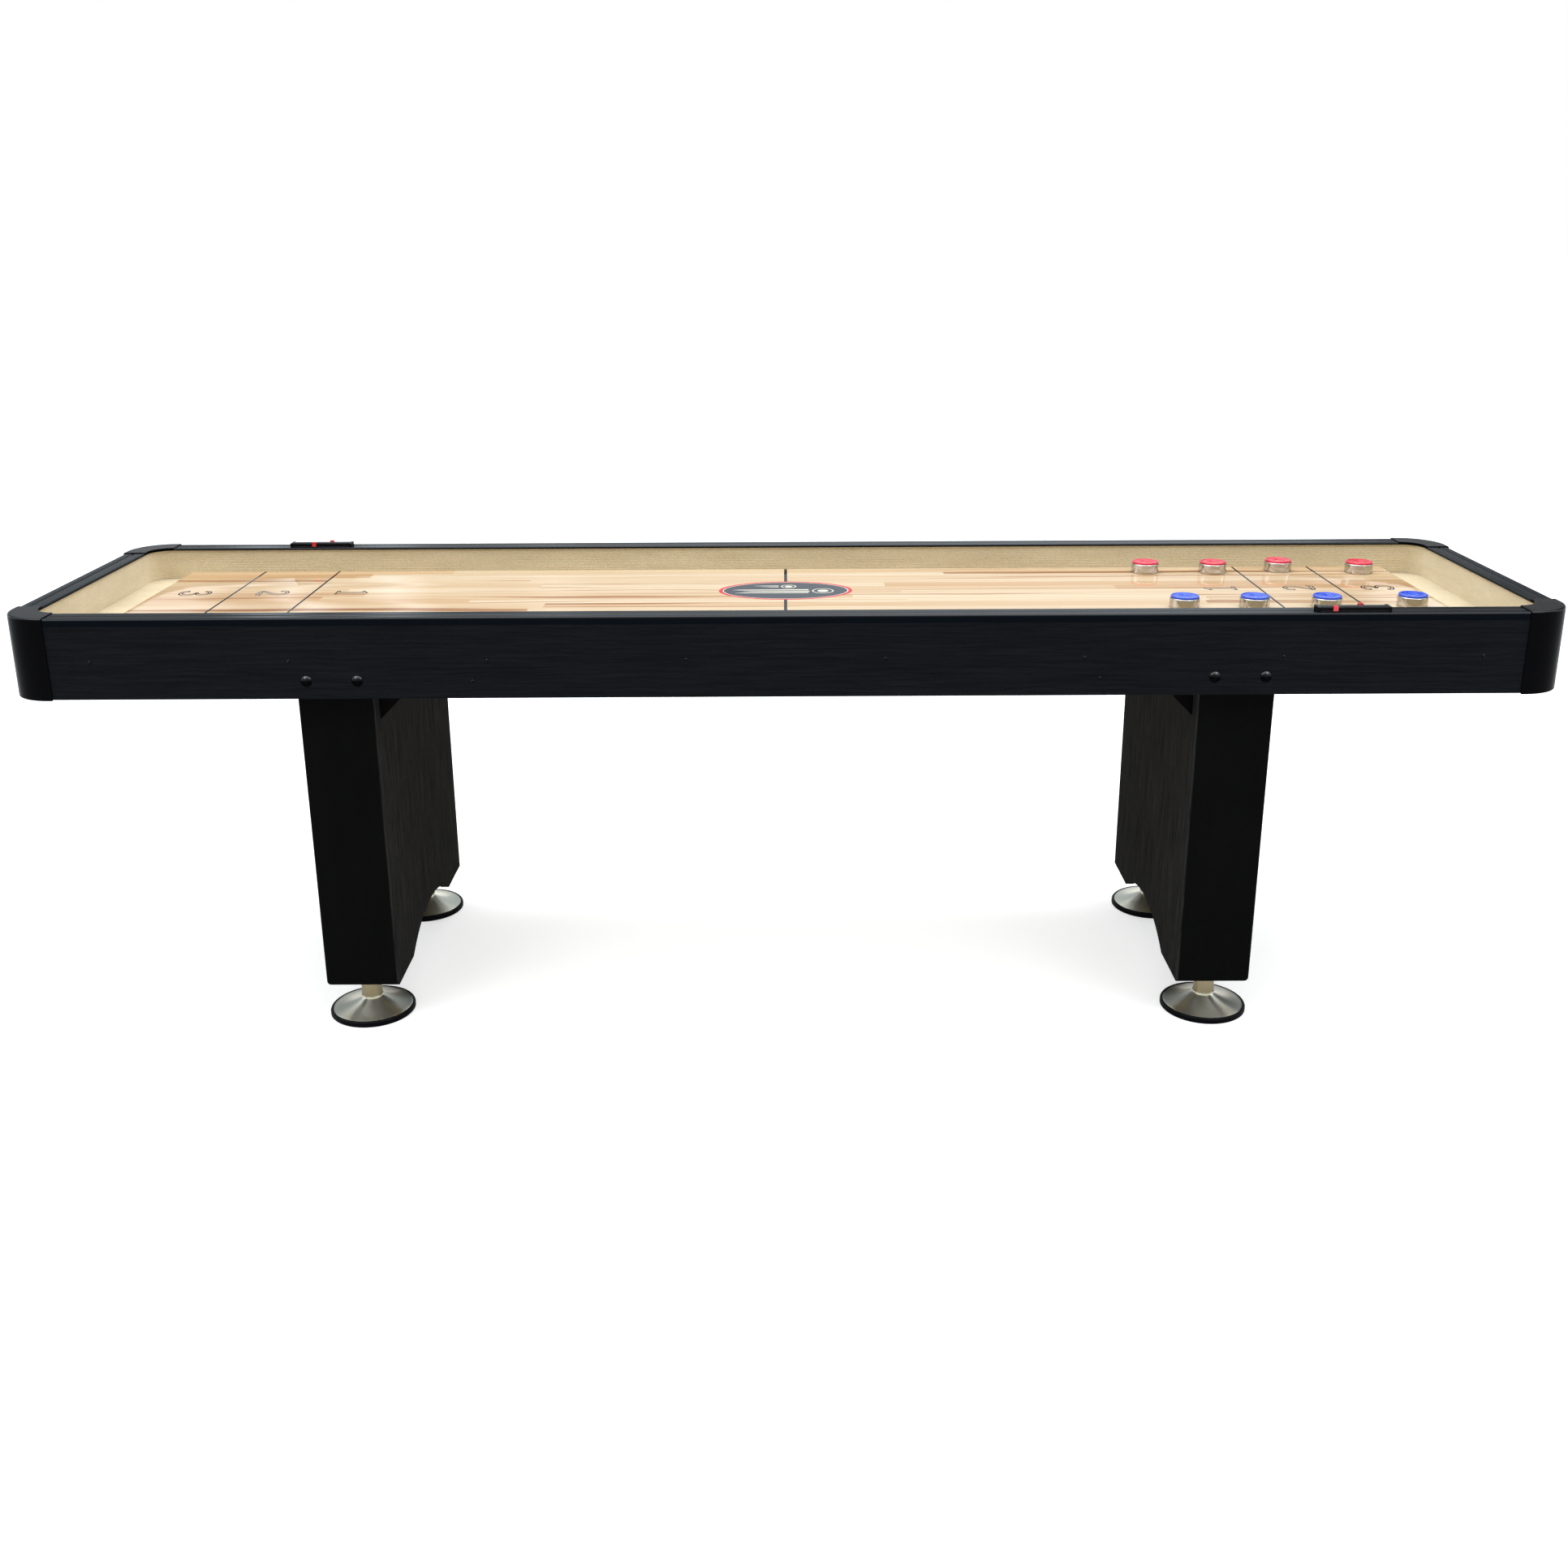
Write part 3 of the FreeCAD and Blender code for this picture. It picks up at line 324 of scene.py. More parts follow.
def turned_metal(name, colour, roughness, ring_mm, ring_depth, stain, anisotropic=0.0,
                 upper=None, upper_from=0.0):
    """Plated metal with fine turning marks round its own axis and faint handling stains. Above
    a height it may have a second, upper colour."""
    finish = Finish(name, Metallic=1.0, Anisotropic=anisotropic)
    x, y, z = finish.split(finish.local())
    out = finish.math("SQRT", finish.math("ADD", finish.math("MULTIPLY", x, x),
                                          finish.math("MULTIPLY", y, y)))
    coil = finish.join(finish.math("ADD", out, finish.math("MULTIPLY", z, 0.83)), 0.0, 0.0)
    marks = finish.noise(coil, 1.0 / (ring_mm * MM), 3.0, 0.6)
    haze = finish.noise(finish.place(), 24.0, 5.0, 0.65)
    darker = shifted(colour, stain)
    tone = finish.mix(finish.span(haze, 0.35, 0.75), colour, darker)
    if upper:
        above = finish.span(z, upper_from, upper_from + MM)
        tone = finish.mix(above, tone, upper)
    finish.set("Base Color", tone)
    rough = finish.span(haze, 0.3, 0.8, roughness - 0.03, roughness + 0.06)
    finish.set("Roughness", finish.math("ADD", rough, finish.span(marks, 0.3, 0.7, -0.02, 0.03)))
    if anisotropic:
        finish.set("Anisotropic Rotation", 0.25)
        turning = finish.node("Tangent", direction_type="RADIAL", axis="Z").outputs[0]
        finish.set("Tangent", turning)
    finish.bump(marks, ring_depth * MM, 0.5)
    return finish


def coated_steel(name, colour, roughness, metallic=0.0):
    """Painted or plated steel with a faint peel, rubbed spots and a painted highlight on the parts
    that look up.
    """
    finish = Finish(name, Metallic=metallic)
    # Painted highlight: only the parts that look up reflect, so a dome shows a bright crescent on
    # top.
    finish.painted_shine(1.0, 0.0)
    place = finish.place()
    peel = finish.noise(place, 900.0, 2.0, 0.5)
    rubbed = finish.noise(place, 160.0, 4.0, 0.6)
    paler = shifted(colour, 1.6, 0.002)
    finish.set("Base Color", finish.mix(finish.span(rubbed, 0.55, 0.75, 0.0, 0.6), colour, paler))
    finish.set("Roughness", finish.span(rubbed, 0.3, 0.7, roughness - 0.06, roughness + 0.08))
    finish.bump(peel, 0.03 * MM, 0.4)
    return finish


def rubber(name):
    """Moulded black rubber with a dusty bloom and a faint painted highlight on faces that look up.
    """
    finish = Finish(name)
    # Painted highlight: faces that look up get a little specular level, upright faces less.
    finish.painted_shine(0.1, 0.02)
    place = finish.place()
    grit = finish.noise(place, 1400.0, 2.0, 0.6)
    bloom = finish.noise(place, 32.0, 5.0, 0.65)
    finish.set("Base Color", finish.mix(finish.span(bloom, 0.45, 0.8, 0.0, 0.6),
                                        rgb(5, 5, 8), rgb(12, 12, 16)))
    finish.set("Roughness", finish.span(bloom, 0.3, 0.8, 0.42, 0.62))
    finish.bump(grit, 0.05 * MM, 0.5)
    return finish


def gloss_plastic(name, colour, deep, roughness=0.22):
    """Gloss moulded plastic with flow marks and hairline scratches."""
    finish = Finish(name, Specular_IOR_Level=0.5, Coat_Weight=0.4, Coat_Roughness=0.08)
    place = finish.place()
    flow = finish.noise(place, 60.0, 3.0, 0.5)
    hair = finish.noise(finish.scaled(place, (260.0, 900.0, 260.0)), 1.0, 2.0, 0.6)
    finish.set("Base Color", finish.mix(finish.span(flow, 0.3, 0.7), colour, deep))
    finish.set("Roughness", finish.span(hair, 0.4, 0.7, roughness, roughness + 0.1))
    finish.bump(hair, 0.006 * MM, 0.3)
    return finish


BLACK = rgb(9, 9, 9)
CHARCOAL = rgb(22, 22, 22)
CHARCOAL_LIGHT = rgb(48, 47, 46)
APRON_LOOK = (rgb(6, 7, 9), rgb(16, 17, 22), 0.5, 0.04)

board_low, board_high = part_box("playfield_board")
row_width = (board_high.y - board_low.y) / BOARD_ROWS

finishes = {
    "apron_long": woodgrain_laminate("apron_laminate_x", "x", *APRON_LOOK),
    "apron_short": woodgrain_laminate("apron_laminate_y", "y", *APRON_LOOK),
    "leg_laminate": woodgrain_laminate("leg_laminate_z", "z", CHARCOAL, CHARCOAL_LIGHT, 0.6, 0.0),
    "leg_black": satin_lacquer("leg_lacquer", BLACK, CHARCOAL, CHARCOAL_LIGHT),
    "rail_black": moulded_black("rail_satin", rgb(7, 11, 16), 0.17, 0.24, 1.4),
    "cap_plastic": moulded_black("cap_satin", rgb(6, 6, 7), 0.22, 0.34, 0.7),
    "frame_wood": raw_wood("sawn_wood"),
    "painted_wood": moulded_black("painted_wood", rgb(16, 16, 17), 0.5, 0.1, 0.5),
    # The gutter floor's carpet is a darker copy of the liner's: painted shade for the floor down
    # between the board and the walls.
    "gutter_panel": carpet("gutter_carpet_painted_shade", rgb(192, 176, 143), rgb(206, 191, 158), 1.3),
    "liner_carpet": carpet("liner_carpet_ribbed", rgb(204, 188, 154), rgb(217, 202, 170), 1.0),
    "board_maple": maple("maple_staves", row_width, board_low.y),
    "ink_black": print_ink("ink_black", rgb(14, 13, 13)),
    "ink_grey": print_ink("ink_grey", rgb(58, 61, 66)),
    "ink_red": print_ink("ink_red", rgb(196, 24, 44)),
    "ink_white": print_ink("ink_white", rgb(214, 208, 192)),
    "ink_dim": print_ink("ink_dim", rgb(150, 150, 152)),
    "black_steel": coated_steel("black_coated_steel", rgb(6, 6, 7), 0.18),
    "zinc_steel": coated_steel("zinc_plate", rgb(172, 172, 168), 0.36, 1.0),
    "foot_rubber": rubber("foot_rubber"),
    "foot_nickel": turned_metal("satin_nickel", rgb(250, 246, 228), 0.3, 0.35, 0.02, 0.9, 0.82,
                                rgb(140, 130, 104), 34.0 * MM),
    "puck_steel": turned_metal("puck_chrome", rgb(206, 204, 200), 0.09, 0.5, 0.006, 0.9),
    "puck_red": gloss_plastic("puck_red", rgb(214, 26, 58), rgb(196, 18, 46)),
    "puck_blue": gloss_plastic("puck_blue", rgb(28, 78, 206), rgb(20, 60, 184)),
    "scorer_black": moulded_black("scorer_satin", rgb(14, 14, 16), 0.3, 0.3, 0.5),
    "scorer_red": gloss_plastic("scorer_red", rgb(206, 22, 40), rgb(188, 16, 32), 0.3),
}


# ---------------------------------------------------------------- mesh helpers

def new_piece(mesh_builder, name, finish, body, replaced=(), sharp_angle=35.0):
    """Make a mesh piece in place, give it a material, and let it ride on a body."""
    mesh = bpy.data.meshes.new(name)
    builder = bmesh.new()
    local = builder.verts.layers.float_vector.new("local")
    mesh_builder(builder, local)
    bmesh.ops.recalc_face_normals(builder, faces=builder.faces)
    for face in builder.faces:
        face.smooth = True
    builder.to_mesh(mesh)
    builder.free()
    mesh.set_sharp_from_angle(angle=math.radians(sharp_angle))
    mesh.materials.append(finishes[finish].material)
    piece = bpy.data.objects.new(name, mesh)
    bpy.context.scene.collection.objects.link(piece)
    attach(piece, body)
    if replaced:
        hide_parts(*replaced)
    return piece


def arc(centre, radius, start, end, steps):
    """Points on an arc, in degrees, both ends included."""
    angles = [math.radians(start + (end - start) * i / steps) for i in range(steps + 1)]
    return [(centre[0] + radius * math.cos(a), centre[1] + radius * math.sin(a)) for a in angles]


def bridge(builder, first, second):
    """Faces between two closed rings of as many points."""
    count = len(first)
    for i in range(count):
        j = (i + 1) % count
        builder.faces.new((first[i], first[j], second[j], second[i]))


def lathe(builder, local, centre, profile, segments):
    """Turn (radius, height) points in millimetres about an upright axis. The first and the
    last point are on the axis."""
    def vertex(x, y, z):
        item = builder.verts.new(centre + Vector((x, y, z)) * MM)
        item[local] = Vector((x, y, z)) * MM
        return item

    angles = [2 * math.pi * i / segments for i in range(segments)]
    rings = [[vertex(r * math.cos(a), r * math.sin(a), z) for a in angles]
             for r, z in profile[1:-1]]
    for low, high in zip(rings, rings[1:]):
        bridge(builder, low, high)
    for ring, (_, z) in ((rings[0], profile[0]), (rings[-1], profile[-1])):
        tip = vertex(0, 0, z)
        for i in range(segments):
            builder.faces.new((tip, ring[i], ring[(i + 1) % segments]))


def oblong(left, right, near, far):
    """The outline of a rectangle."""
    return [(left, near), (right, near), (right, far), (left, far)]


def prism(builder, outline, low, high):
    """A solid between two levels, from an outline of (x, y) points."""
    bottom = [builder.verts.new((x, y, low)) for x, y in outline]
    top = [builder.verts.new((x, y, high)) for x, y in outline]
    bridge(builder, bottom, top)
    builder.faces.new(bottom)
    builder.faces.new(top)


def band(builder, outer, inner, low, high):
    """A flat ring between two levels, from two outlines of as many points."""
    rings = [[builder.verts.new((x, y, level)) for x, y in outline]
             for outline, level in ((outer, low), (outer, high), (inner, high), (inner, low))]
    for ring, following in zip(rings, rings[1:] + rings[:1]):
        bridge(builder, ring, following)


def shade_smooth_group():
    """A node group that shades a CAD mesh smooth, for the bevels that follow its edges."""
    group = bpy.data.node_groups.new("shade_smooth", "GeometryNodeTree")
    for in_out in ("INPUT", "OUTPUT"):
        group.interface.new_socket("Geometry", in_out=in_out, socket_type="NodeSocketGeometry")
    start = group.nodes.new("NodeGroupInput")
    shade = group.nodes.new("GeometryNodeSetShadeSmooth")
    end = group.nodes.new("NodeGroupOutput")
    group.links.new(start.outputs[0], shade.inputs["Geometry"])
    group.links.new(shade.outputs[0], end.inputs[0])
    return group


smooth_group = shade_smooth_group()


def ease_edges(node_name, width_mm, segments=2):
    """Round a CAD node's hard edges a little, with modifiers only."""
    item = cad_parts[node_name]
    weld = item.modifiers.new("weld", "WELD")
    weld.merge_threshold = 0.001 * MM
    flat = item.modifiers.new("flat_faces", "DECIMATE")
    flat.decimate_type = "DISSOLVE"
    flat.angle_limit = math.radians(0.5)
    bevel = item.modifiers.new("eased_edges", "BEVEL")
    bevel.width = width_mm * MM
    bevel.segments = segments
    bevel.limit_method = "ANGLE"
    bevel.angle_limit = math.radians(40)
    item.modifiers.new("smooth", "NODES").node_group = smooth_group
    item.modifiers.new("weighted_normals", "WEIGHTED_NORMAL").weight = 100


def dress(node_name, finish, ease_mm=0.0):
    """Give a CAD node its material, and eased edges where it has hard ones."""
    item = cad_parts[node_name]
    for slot in item.material_slots:
        slot.link = "OBJECT"
        slot.material = finishes[finish].material
    if ease_mm:
        ease_edges(node_name, ease_mm)


# ---------------------------------------------------------------- cabinet and legs

def dress_cabinet():
    for side in SIDES:
        dress(f"side_apron_{side}", "apron_long", 0.8)
        dress(f"top_rail_{side}", "rail_black", 0.5)
    for end in ENDS:
        dress(f"end_apron_{end}", "apron_short", 0.8)
        dress(f"top_rail_{end}", "rail_black", 0.5)
        dress(f"leg_{end}_end_posts", "leg_black", 1.0)
        dress(f"leg_{end}_inner_panel", "leg_laminate", 0.8)
        dress(f"leg_{end}_outer_panel", "leg_laminate", 0.8)
    for corner in CORNERS:
        dress(f"corner_cap_{corner}", "cap_plastic", 0.5)
    dress("corner_blocks", "frame_wood", 0.8)
    dress("cross_bearers", "frame_wood", 1.2)
    dress("foot_blocks", "painted_wood", 1.0)
    dress("leg_gussets", "leg_black", 1.2)
    dress("gutter_floor", "gutter_panel")
    dress("foot_inserts", "zinc_steel")
    dress("leg_inserts", "zinc_steel")
    dress("leg_bolts", "black_steel")


# ---------------------------------------------------------------- the carpet on the gutter's walls

LINER_BEND = 46 * MM
LINER_RIBS = 17


def rounded_plan(half_long, half_wide, bend, steps):
    """Points of a rectangle with round corners, each with its outward direction."""
    plan = []
    for turn, (end, side) in enumerate(((1, 1), (-1, 1), (-1, -1), (1, -1))):
        middle = Vector(((half_long - bend) * end, (half_wide - bend) * side))
        for i in range(steps + 1):
            angle = math.pi / 2 * (turn + i / steps)
            outward = Vector((math.cos(angle), math.sin(angle)))
            plan.append((middle + outward * bend, outward))
    return plan


def make_liner():
    low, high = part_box("gutter_liner")
    pitch = (high.z - low.z) / LINER_RIBS
    back, valley, crest = 0.05 * MM, 2.3 * MM, 3.0 * MM
    section = [(back, low.z, 0.0), (back, high.z, 0.0)]
    per_rib = 6
    for step in range(LINER_RIBS * per_rib, -1, -1):
        swell = abs(math.sin(math.pi * step / per_rib))
        rise = (crest - valley) * swell ** 0.6
        section.append((valley, low.z + pitch * step / per_rib, rise))

    def depth(outward):
        """The ribs are full on the long walls and shallow on the end walls."""
        shallow = 0.15
        return shallow + (1 - shallow) * abs(outward.y)

    def build(builder, local):
        plan = rounded_plan(high.x, high.y, LINER_BEND, 12)
        rings = [
            [builder.verts.new((*(point - outward * (inset + rise * depth(outward))), level))
             for point, outward in plan]
            for inset, level, rise in section
        ]
        for ring, following in zip(rings, rings[1:] + rings[:1]):
            bridge(builder, ring, following)

    new_piece(build, "carpet_liner", "liner_carpet", TABLE, ["gutter_liner"])


# ---------------------------------------------------------------- the maple board

BOARD_EASE = 2.0 * MM
STAVE_SEED = 41


def stave_plan():
    """For each row of staves, its cuts along the board and each stave's tone, seed and share
    of heartwood."""
    draw = random.Random(STAVE_SEED)
    ends = (board_low.x + BOARD_EASE, board_high.x - BOARD_EASE)
    rows = []
    for row in range(BOARD_ROWS):
        cuts = [ends[0]]
        place = ends[0] + draw.uniform(0.25, 1.0)
        while place < ends[1] - 0.2:
            cuts.append(place)
            place += draw.uniform(0.55, 1.25)
        cuts.append(ends[1])
        staves = []
        for start, end in zip(cuts, cuts[1:]):
            at_end = max(abs(start), abs(end)) > 1.1
            tone = draw.uniform(0.0, 0.58) + (draw.uniform(0.0, 0.42) if at_end else 0.0)
            heart = draw.uniform(0.0, 0.85) + (0.15 if at_end else 0.0)
            staves.append((tone, draw.random(), heart))
        rows.append((cuts, staves))
    return rows


def make_board():
    rows = stave_plan()
    top, bottom = board_high.z, board_low.z
    lines = [board_low.y + row_width * i for i in range(BOARD_ROWS + 1)]
    lines[0] += BOARD_EASE
    lines[-1] -= BOARD_EASE

    def build(builder, local):
        ladder = []
        for number, y in enumerate(lines):
            places = set()
            for cuts, _ in rows[max(number - 1, 0):number + 1]:
                places.update(cuts)
            ladder.append([(x, builder.verts.new((x, y, top))) for x in sorted(places)])
        for number, (cuts, _) in enumerate(rows):
            for start, end in zip(cuts, cuts[1:]):
                near = [v for x, v in ladder[number] if start <= x <= end]
                far = [v for x, v in ladder[number + 1] if start <= x <= end]
                builder.faces.new(near + far[::-1])
        rim = [v for _, v in ladder[0]]
        rim += [line[-1][1] for line in ladder[1:-1]]
        rim += [v for _, v in reversed(ladder[-1])]
        rim += [line[0][1] for line in reversed(ladder[1:-1])]
        ring = rim
        turns = [math.radians(degrees) for degrees in (30, 60, 90)]
        levels = [(math.sin(turn) * BOARD_EASE, top - (1 - math.cos(turn)) * BOARD_EASE)
                  for turn in turns]
        first_cut, last_cut = rows[0][0][0], rows[0][0][-1]
        slack = MM / 9
        for out, level in levels + [(BOARD_EASE, bottom)]:
            following = []
            for vertex in rim:
                x, y, _ = vertex.co
                x += out * ((x >= last_cut - slack) - (x <= first_cut + slack))
                y += out * ((y >= lines[-1] - slack) - (y <= lines[0] + slack))
                following.append(builder.verts.new((x, y, level)))
            bridge(builder, ring, following)
            ring = following
        builder.faces.new(ring[::-1])

    piece = new_piece(build, "maple_board", "board_maple", TABLE,
                      ["playfield_board"], 30.0)
    values = []
    for face in piece.data.polygons:
        row = int((face.center.y - board_low.y) / row_width)
        cuts, staves = rows[min(max(row, 0), BOARD_ROWS - 1)]
        number = sum(face.center.x > cut for cut in cuts[1:-1])
        values += staves[number]
    layer = piece.data.attributes.new("stave", "FLOAT_VECTOR", "FACE")
    layer.data.foreach_set("vector", values)


# ---------------------------------------------------------------- marks printed on the board

INK = 0.05 * MM
LINE_PLACES = (1067 * MM, 915 * MM)
DIGIT_PLACES = {"3": 1143 * MM, "2": 992 * MM, "1": 839 * MM}
OVAL = {"red": ((129, 80), (121.5, 73)), "white": ((121.5, 73), (119.5, 71))}
OVAL_FIELD = (119.5, 71)

# Each digit is one pen stroke or one outline, in millimetres, 60 tall about its own middle.
DIGIT_STROKES = {
    "2": [(-15, 13, 3.4), (-13, 22, 3.0), (-2, 27.4, 2.4), (10, 22.5, 3.6), (13.5, 12, 4.4),
          (7, 0.5, 3.6), (-6, -13, 2.6), (-14.5, -22.5, 2.2), (-8, -25.5, 2.8), (4, -25.2, 3.6),
          (14.5, -26.2, 3.0), (18.5, -19.5, 1.8)],
    "3": [(-15, 17, 3.4), (-11.5, 24.5, 2.8), (0, 27.6, 2.4), (11, 22, 3.8), (10.6, 11, 3.8),
          (2, 4, 2.2), (-3.5, 2.4, 1.6), (3, 0.6, 2.0), (13, -5.5, 3.8), (15, -16, 4.4),
          (7.5, -25, 3.4), (-3.5, -27.6, 2.4), (-13.5, -23.5, 3.0), (-16, -16.5, 3.6)],
}
DIGIT_ONE = [(-14, -30), (14, -30), (14, -26.5), (5.5, -24.5), (5.5, 30), (1, 30), (-4, 25.5),
             (-13, 22), (-13, 18.5), (-4.5, 20.5), (-4.5, -24.5), (-14, -26.5)]
DIGIT_PEN = 1.5


def ellipse(radii, steps=96, middle=(0.0, 0.0)):
    """Points of an ellipse from its two half-widths in millimetres."""
    return [((middle[0] + radii[0] * math.cos(2 * math.pi * i / steps)) * MM,
             (middle[1] + radii[1] * math.sin(2 * math.pi * i / steps)) * MM)
            for i in range(steps)]


def smooth_through(points, steps=6):
    """A smooth open line through points, as many numbers as they have."""
    padded = [points[0]] + list(points) + [points[-1]]
    line = []
    for a, b, c, d in zip(padded, padded[1:], padded[2:], padded[3:]):
        for i in range(steps):
            t = i / steps
            line.append(tuple(
                0.5 * (2 * q + (r - p) * t + (2 * p - 5 * q + 4 * r - s) * t * t
                       + (3 * q - p - 3 * r + s) * t ** 3)
                for p, q, r, s in zip(a, b, c, d)))
    return line + [tuple(points[-1])]


def stroke_outline(points):
    """The closed outline of a pen stroke through (x, y, half width) points."""
    line = smooth_through(points)
    left, right = [], []
    for i, (x, y, half) in enumerate(line):
        before, after = line[max(i - 1, 0)], line[min(i + 1, len(line) - 1)]
        way = Vector((after[0] - before[0], after[1] - before[1])).normalized()
        left.append((x - way.y * half, y + way.x * half))
        right.append((x + way.y * half, y - way.x * half))
    return left + right[::-1]


def outline_band(builder, outline, half_pen, place, low, high):
    """A thin band along a closed outline, whose points place() moves to the board."""
    count = len(outline)
    outer, inner = [], []
    for i, point in enumerate(outline):
        here = Vector(point)
        back = (here - Vector(outline[i - 1])).normalized()
        on = (Vector(outline[(i + 1) % count]) - here).normalized()
        middle = (back + on).normalized()
        normal = Vector((-middle.y, middle.x))
        reach = half_pen / max(normal.dot(Vector((-on.y, on.x))), 0.5)
        outer.append(place(here - normal * reach))
        inner.append(place(here + normal * reach))
    band(builder, outer, inner, low, high)


def flat_piece(build, name, finish):
    """A printed mark: a thin piece that rides on the table."""
    new_piece(build, name, finish, TABLE)


def make_score_lines():
    low, high = board_high.z, board_high.z + INK
    half = (board_high.y - board_low.y) / 2 - BOARD_EASE
    pen, centre_pen = 2.1 * MM, 3.0 * MM
    oval_edge = OVAL["red"][0][1] * MM

    def build(builder, local):
        for end in ENDS.values():
            for place in LINE_PLACES:
                x = place * end
                prism(builder, oblong(x - pen, x + pen, -half, half), low, high)
        for side in SIDES.values():
            near, far = sorted((oval_edge * side, half * side))
            prism(builder, oblong(-centre_pen, centre_pen, near, far), low, high)

    flat_piece(build, "score_lines", "ink_black")


def make_digits():
    """Outlined digits that stand upright for a player at their own end."""
    low, high = board_high.z, board_high.z + INK
    outlines = {text: stroke_outline(points) for text, points in DIGIT_STROKES.items()}
    outlines["1"] = DIGIT_ONE

    def build(builder, local):
        for end in ENDS.values():
            for text, distance in DIGIT_PLACES.items():
                def place(point, middle=distance * end, end=end):
                    return (middle - end * point.y * MM, end * point.x * MM)
                outline_band(builder, outlines[text], DIGIT_PEN, place, low, high)

    flat_piece(build, "score_digits", "ink_black")


def make_oval():
    low, high = board_high.z, board_high.z + INK
    for colour, (outer, inner) in OVAL.items():
        def build(builder, local, outer=outer, inner=inner):
            band(builder, ellipse(outer), ellipse(inner), low, high)
        flat_piece(build, f"oval_ring_{colour}", f"ink_{colour}")
    flat_piece(lambda builder, local: prism(builder, ellipse(OVAL_FIELD), low, high),
               "oval_field", "ink_grey")


def make_motif():
    """A plain motif in the oval: two sliding pucks with streaks behind them."""
    low, high = board_high.z + INK, board_high.z + 2 * INK
    pucks = [((72, -5), 21), ((6, 35), 15)]
    streaks = [(-104, 44, 5, 4.0), (-84, 46, -8, 3.4), (-98, 44, -20, 3.4), (-64, -14, 41, 2.6),
               (-48, -14, 31, 2.4)]
    ring, taper, lean = 2.6, 18, 0.1

    def build(builder, local):
        for middle, radius in pucks:
            band(builder, ellipse((radius, radius), 48, middle),
                 ellipse((radius - ring, radius - ring), 48, middle), low, high)
            prism(builder, ellipse((radius * 0.5, radius * 0.5), 32, middle), low, high)
        for start, end, level, half in streaks:
            points = [(start, level), (start + taper, level + half * 0.7),
                      (end, level + half), (end + lean * half, level - half),
                      (start + taper, level - half * 0.7)]
            prism(builder, [(x * MM, y * MM) for x, y in points], low, high)

    flat_piece(build, "oval_motif", "ink_white")


# ---------------------------------------------------------------- pucks

PUCK_SEGMENTS = 72


def make_puck(name):
    """A chromed weight with a turned foot and waist, and a dished plastic cap."""
    low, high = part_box(f"puck_weight_{name}")
    cap_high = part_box(f"puck_cap_{name}")[1]
    centre = Vector(((low.x + high.x) / 2, (low.y + high.y) / 2, low.z))
    radius = (high.x - low.x) / 2 / MM
    tall = (high.z - low.z) / MM
    crown = (cap_high.z - low.z) / MM
    cap_radius = radius - 1.5
    well, well_floor = 12.0, tall - 7.0

    foot = arc((radius - 1.3, 1.3), 1.3, -90, 0, 5)
    shoulder = arc((radius - 1.6, tall - 1.6), 1.6, 0, 90, 6)
    weight = [(0, 0.5), (radius - 7.5, 0.5), (radius - 6.2, 0.0)] + foot
    weight += [(radius, 2.4), (radius - 0.45, 2.75), (radius - 0.45, 3.15), (radius, 3.5)]
    weight += shoulder + [(well + 0.5, tall), (well, tall - 0.5), (well, well_floor),
                          (0, well_floor)]
    new_piece(lambda b, layer: lathe(b, layer, centre, weight, PUCK_SEGMENTS),
              f"weight_{name}", "puck_steel", f"puck_{name}",
              [f"puck_weight_{name}"])

    spigot = well - 0.3
    rim = arc((cap_radius - 1.3, crown - 1.3), 1.3, 0, 90, 6)
    dish = crown - 0.75
    cap = [(0, well_floor + 0.3), (spigot, well_floor + 0.3), (spigot, tall),
           (cap_radius - 0.4, tall), (cap_radius, tall + 0.4)] + rim
    cap += [(cap_radius - 3.2, crown), (cap_radius - 4.0, crown - 0.35),
            (cap_radius - 5.0, crown - 0.6), (16.5, dish + 0.1), (12.8, dish),
            (12.2, dish + 0.45), (10.8, dish + 0.45), (10.2, dish), (7.0, dish - 0.1),
            (5.6, dish - 0.75), (3.0, dish - 1.0), (0, dish - 1.05)]
    colour = name.split("_")[0]
    new_piece(lambda b, layer: lathe(b, layer, centre, cap, PUCK_SEGMENTS),
              f"cap_{name}", f"puck_{colour}", f"puck_{name}",
              [f"puck_cap_{name}"])


# ---------------------------------------------------------------- scorers

SLIDER_RIDGES = 3


def make_scorer(name):
    """The bar's own shape stays. Tick marks go on it, and gripped sliders on its tracks."""
    low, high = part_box(f"scorer_bar_{name}")
    dress(f"scorer_bar_{name}", "scorer_black", 0.35)
    middle = (low + high) / 2
    step, tick = 5.4 * MM, 0.6 * MM
    ticks = 20
    outer_end, short_end, long_end = 6.2 * MM, 4.0 * MM, 2.4 * MM

    def build(builder, local):
        for side in SIDES.values():
            for number in range(ticks):
                x = middle.x + (number - (ticks - 1) / 2) * step
                inner_end = long_end if number % 5 == 2 else short_end
                near, far = sorted((middle.y + side * outer_end, middle.y + side * inner_end))
                prism(builder, oblong(x - tick, x + tick, near, far), high.z, high.z + INK)

    new_piece(build, f"scorer_ticks_{name}", "ink_dim", TABLE)
    for side, out in SIDES.items():
        make_slider(f"{name}_{side}", out)


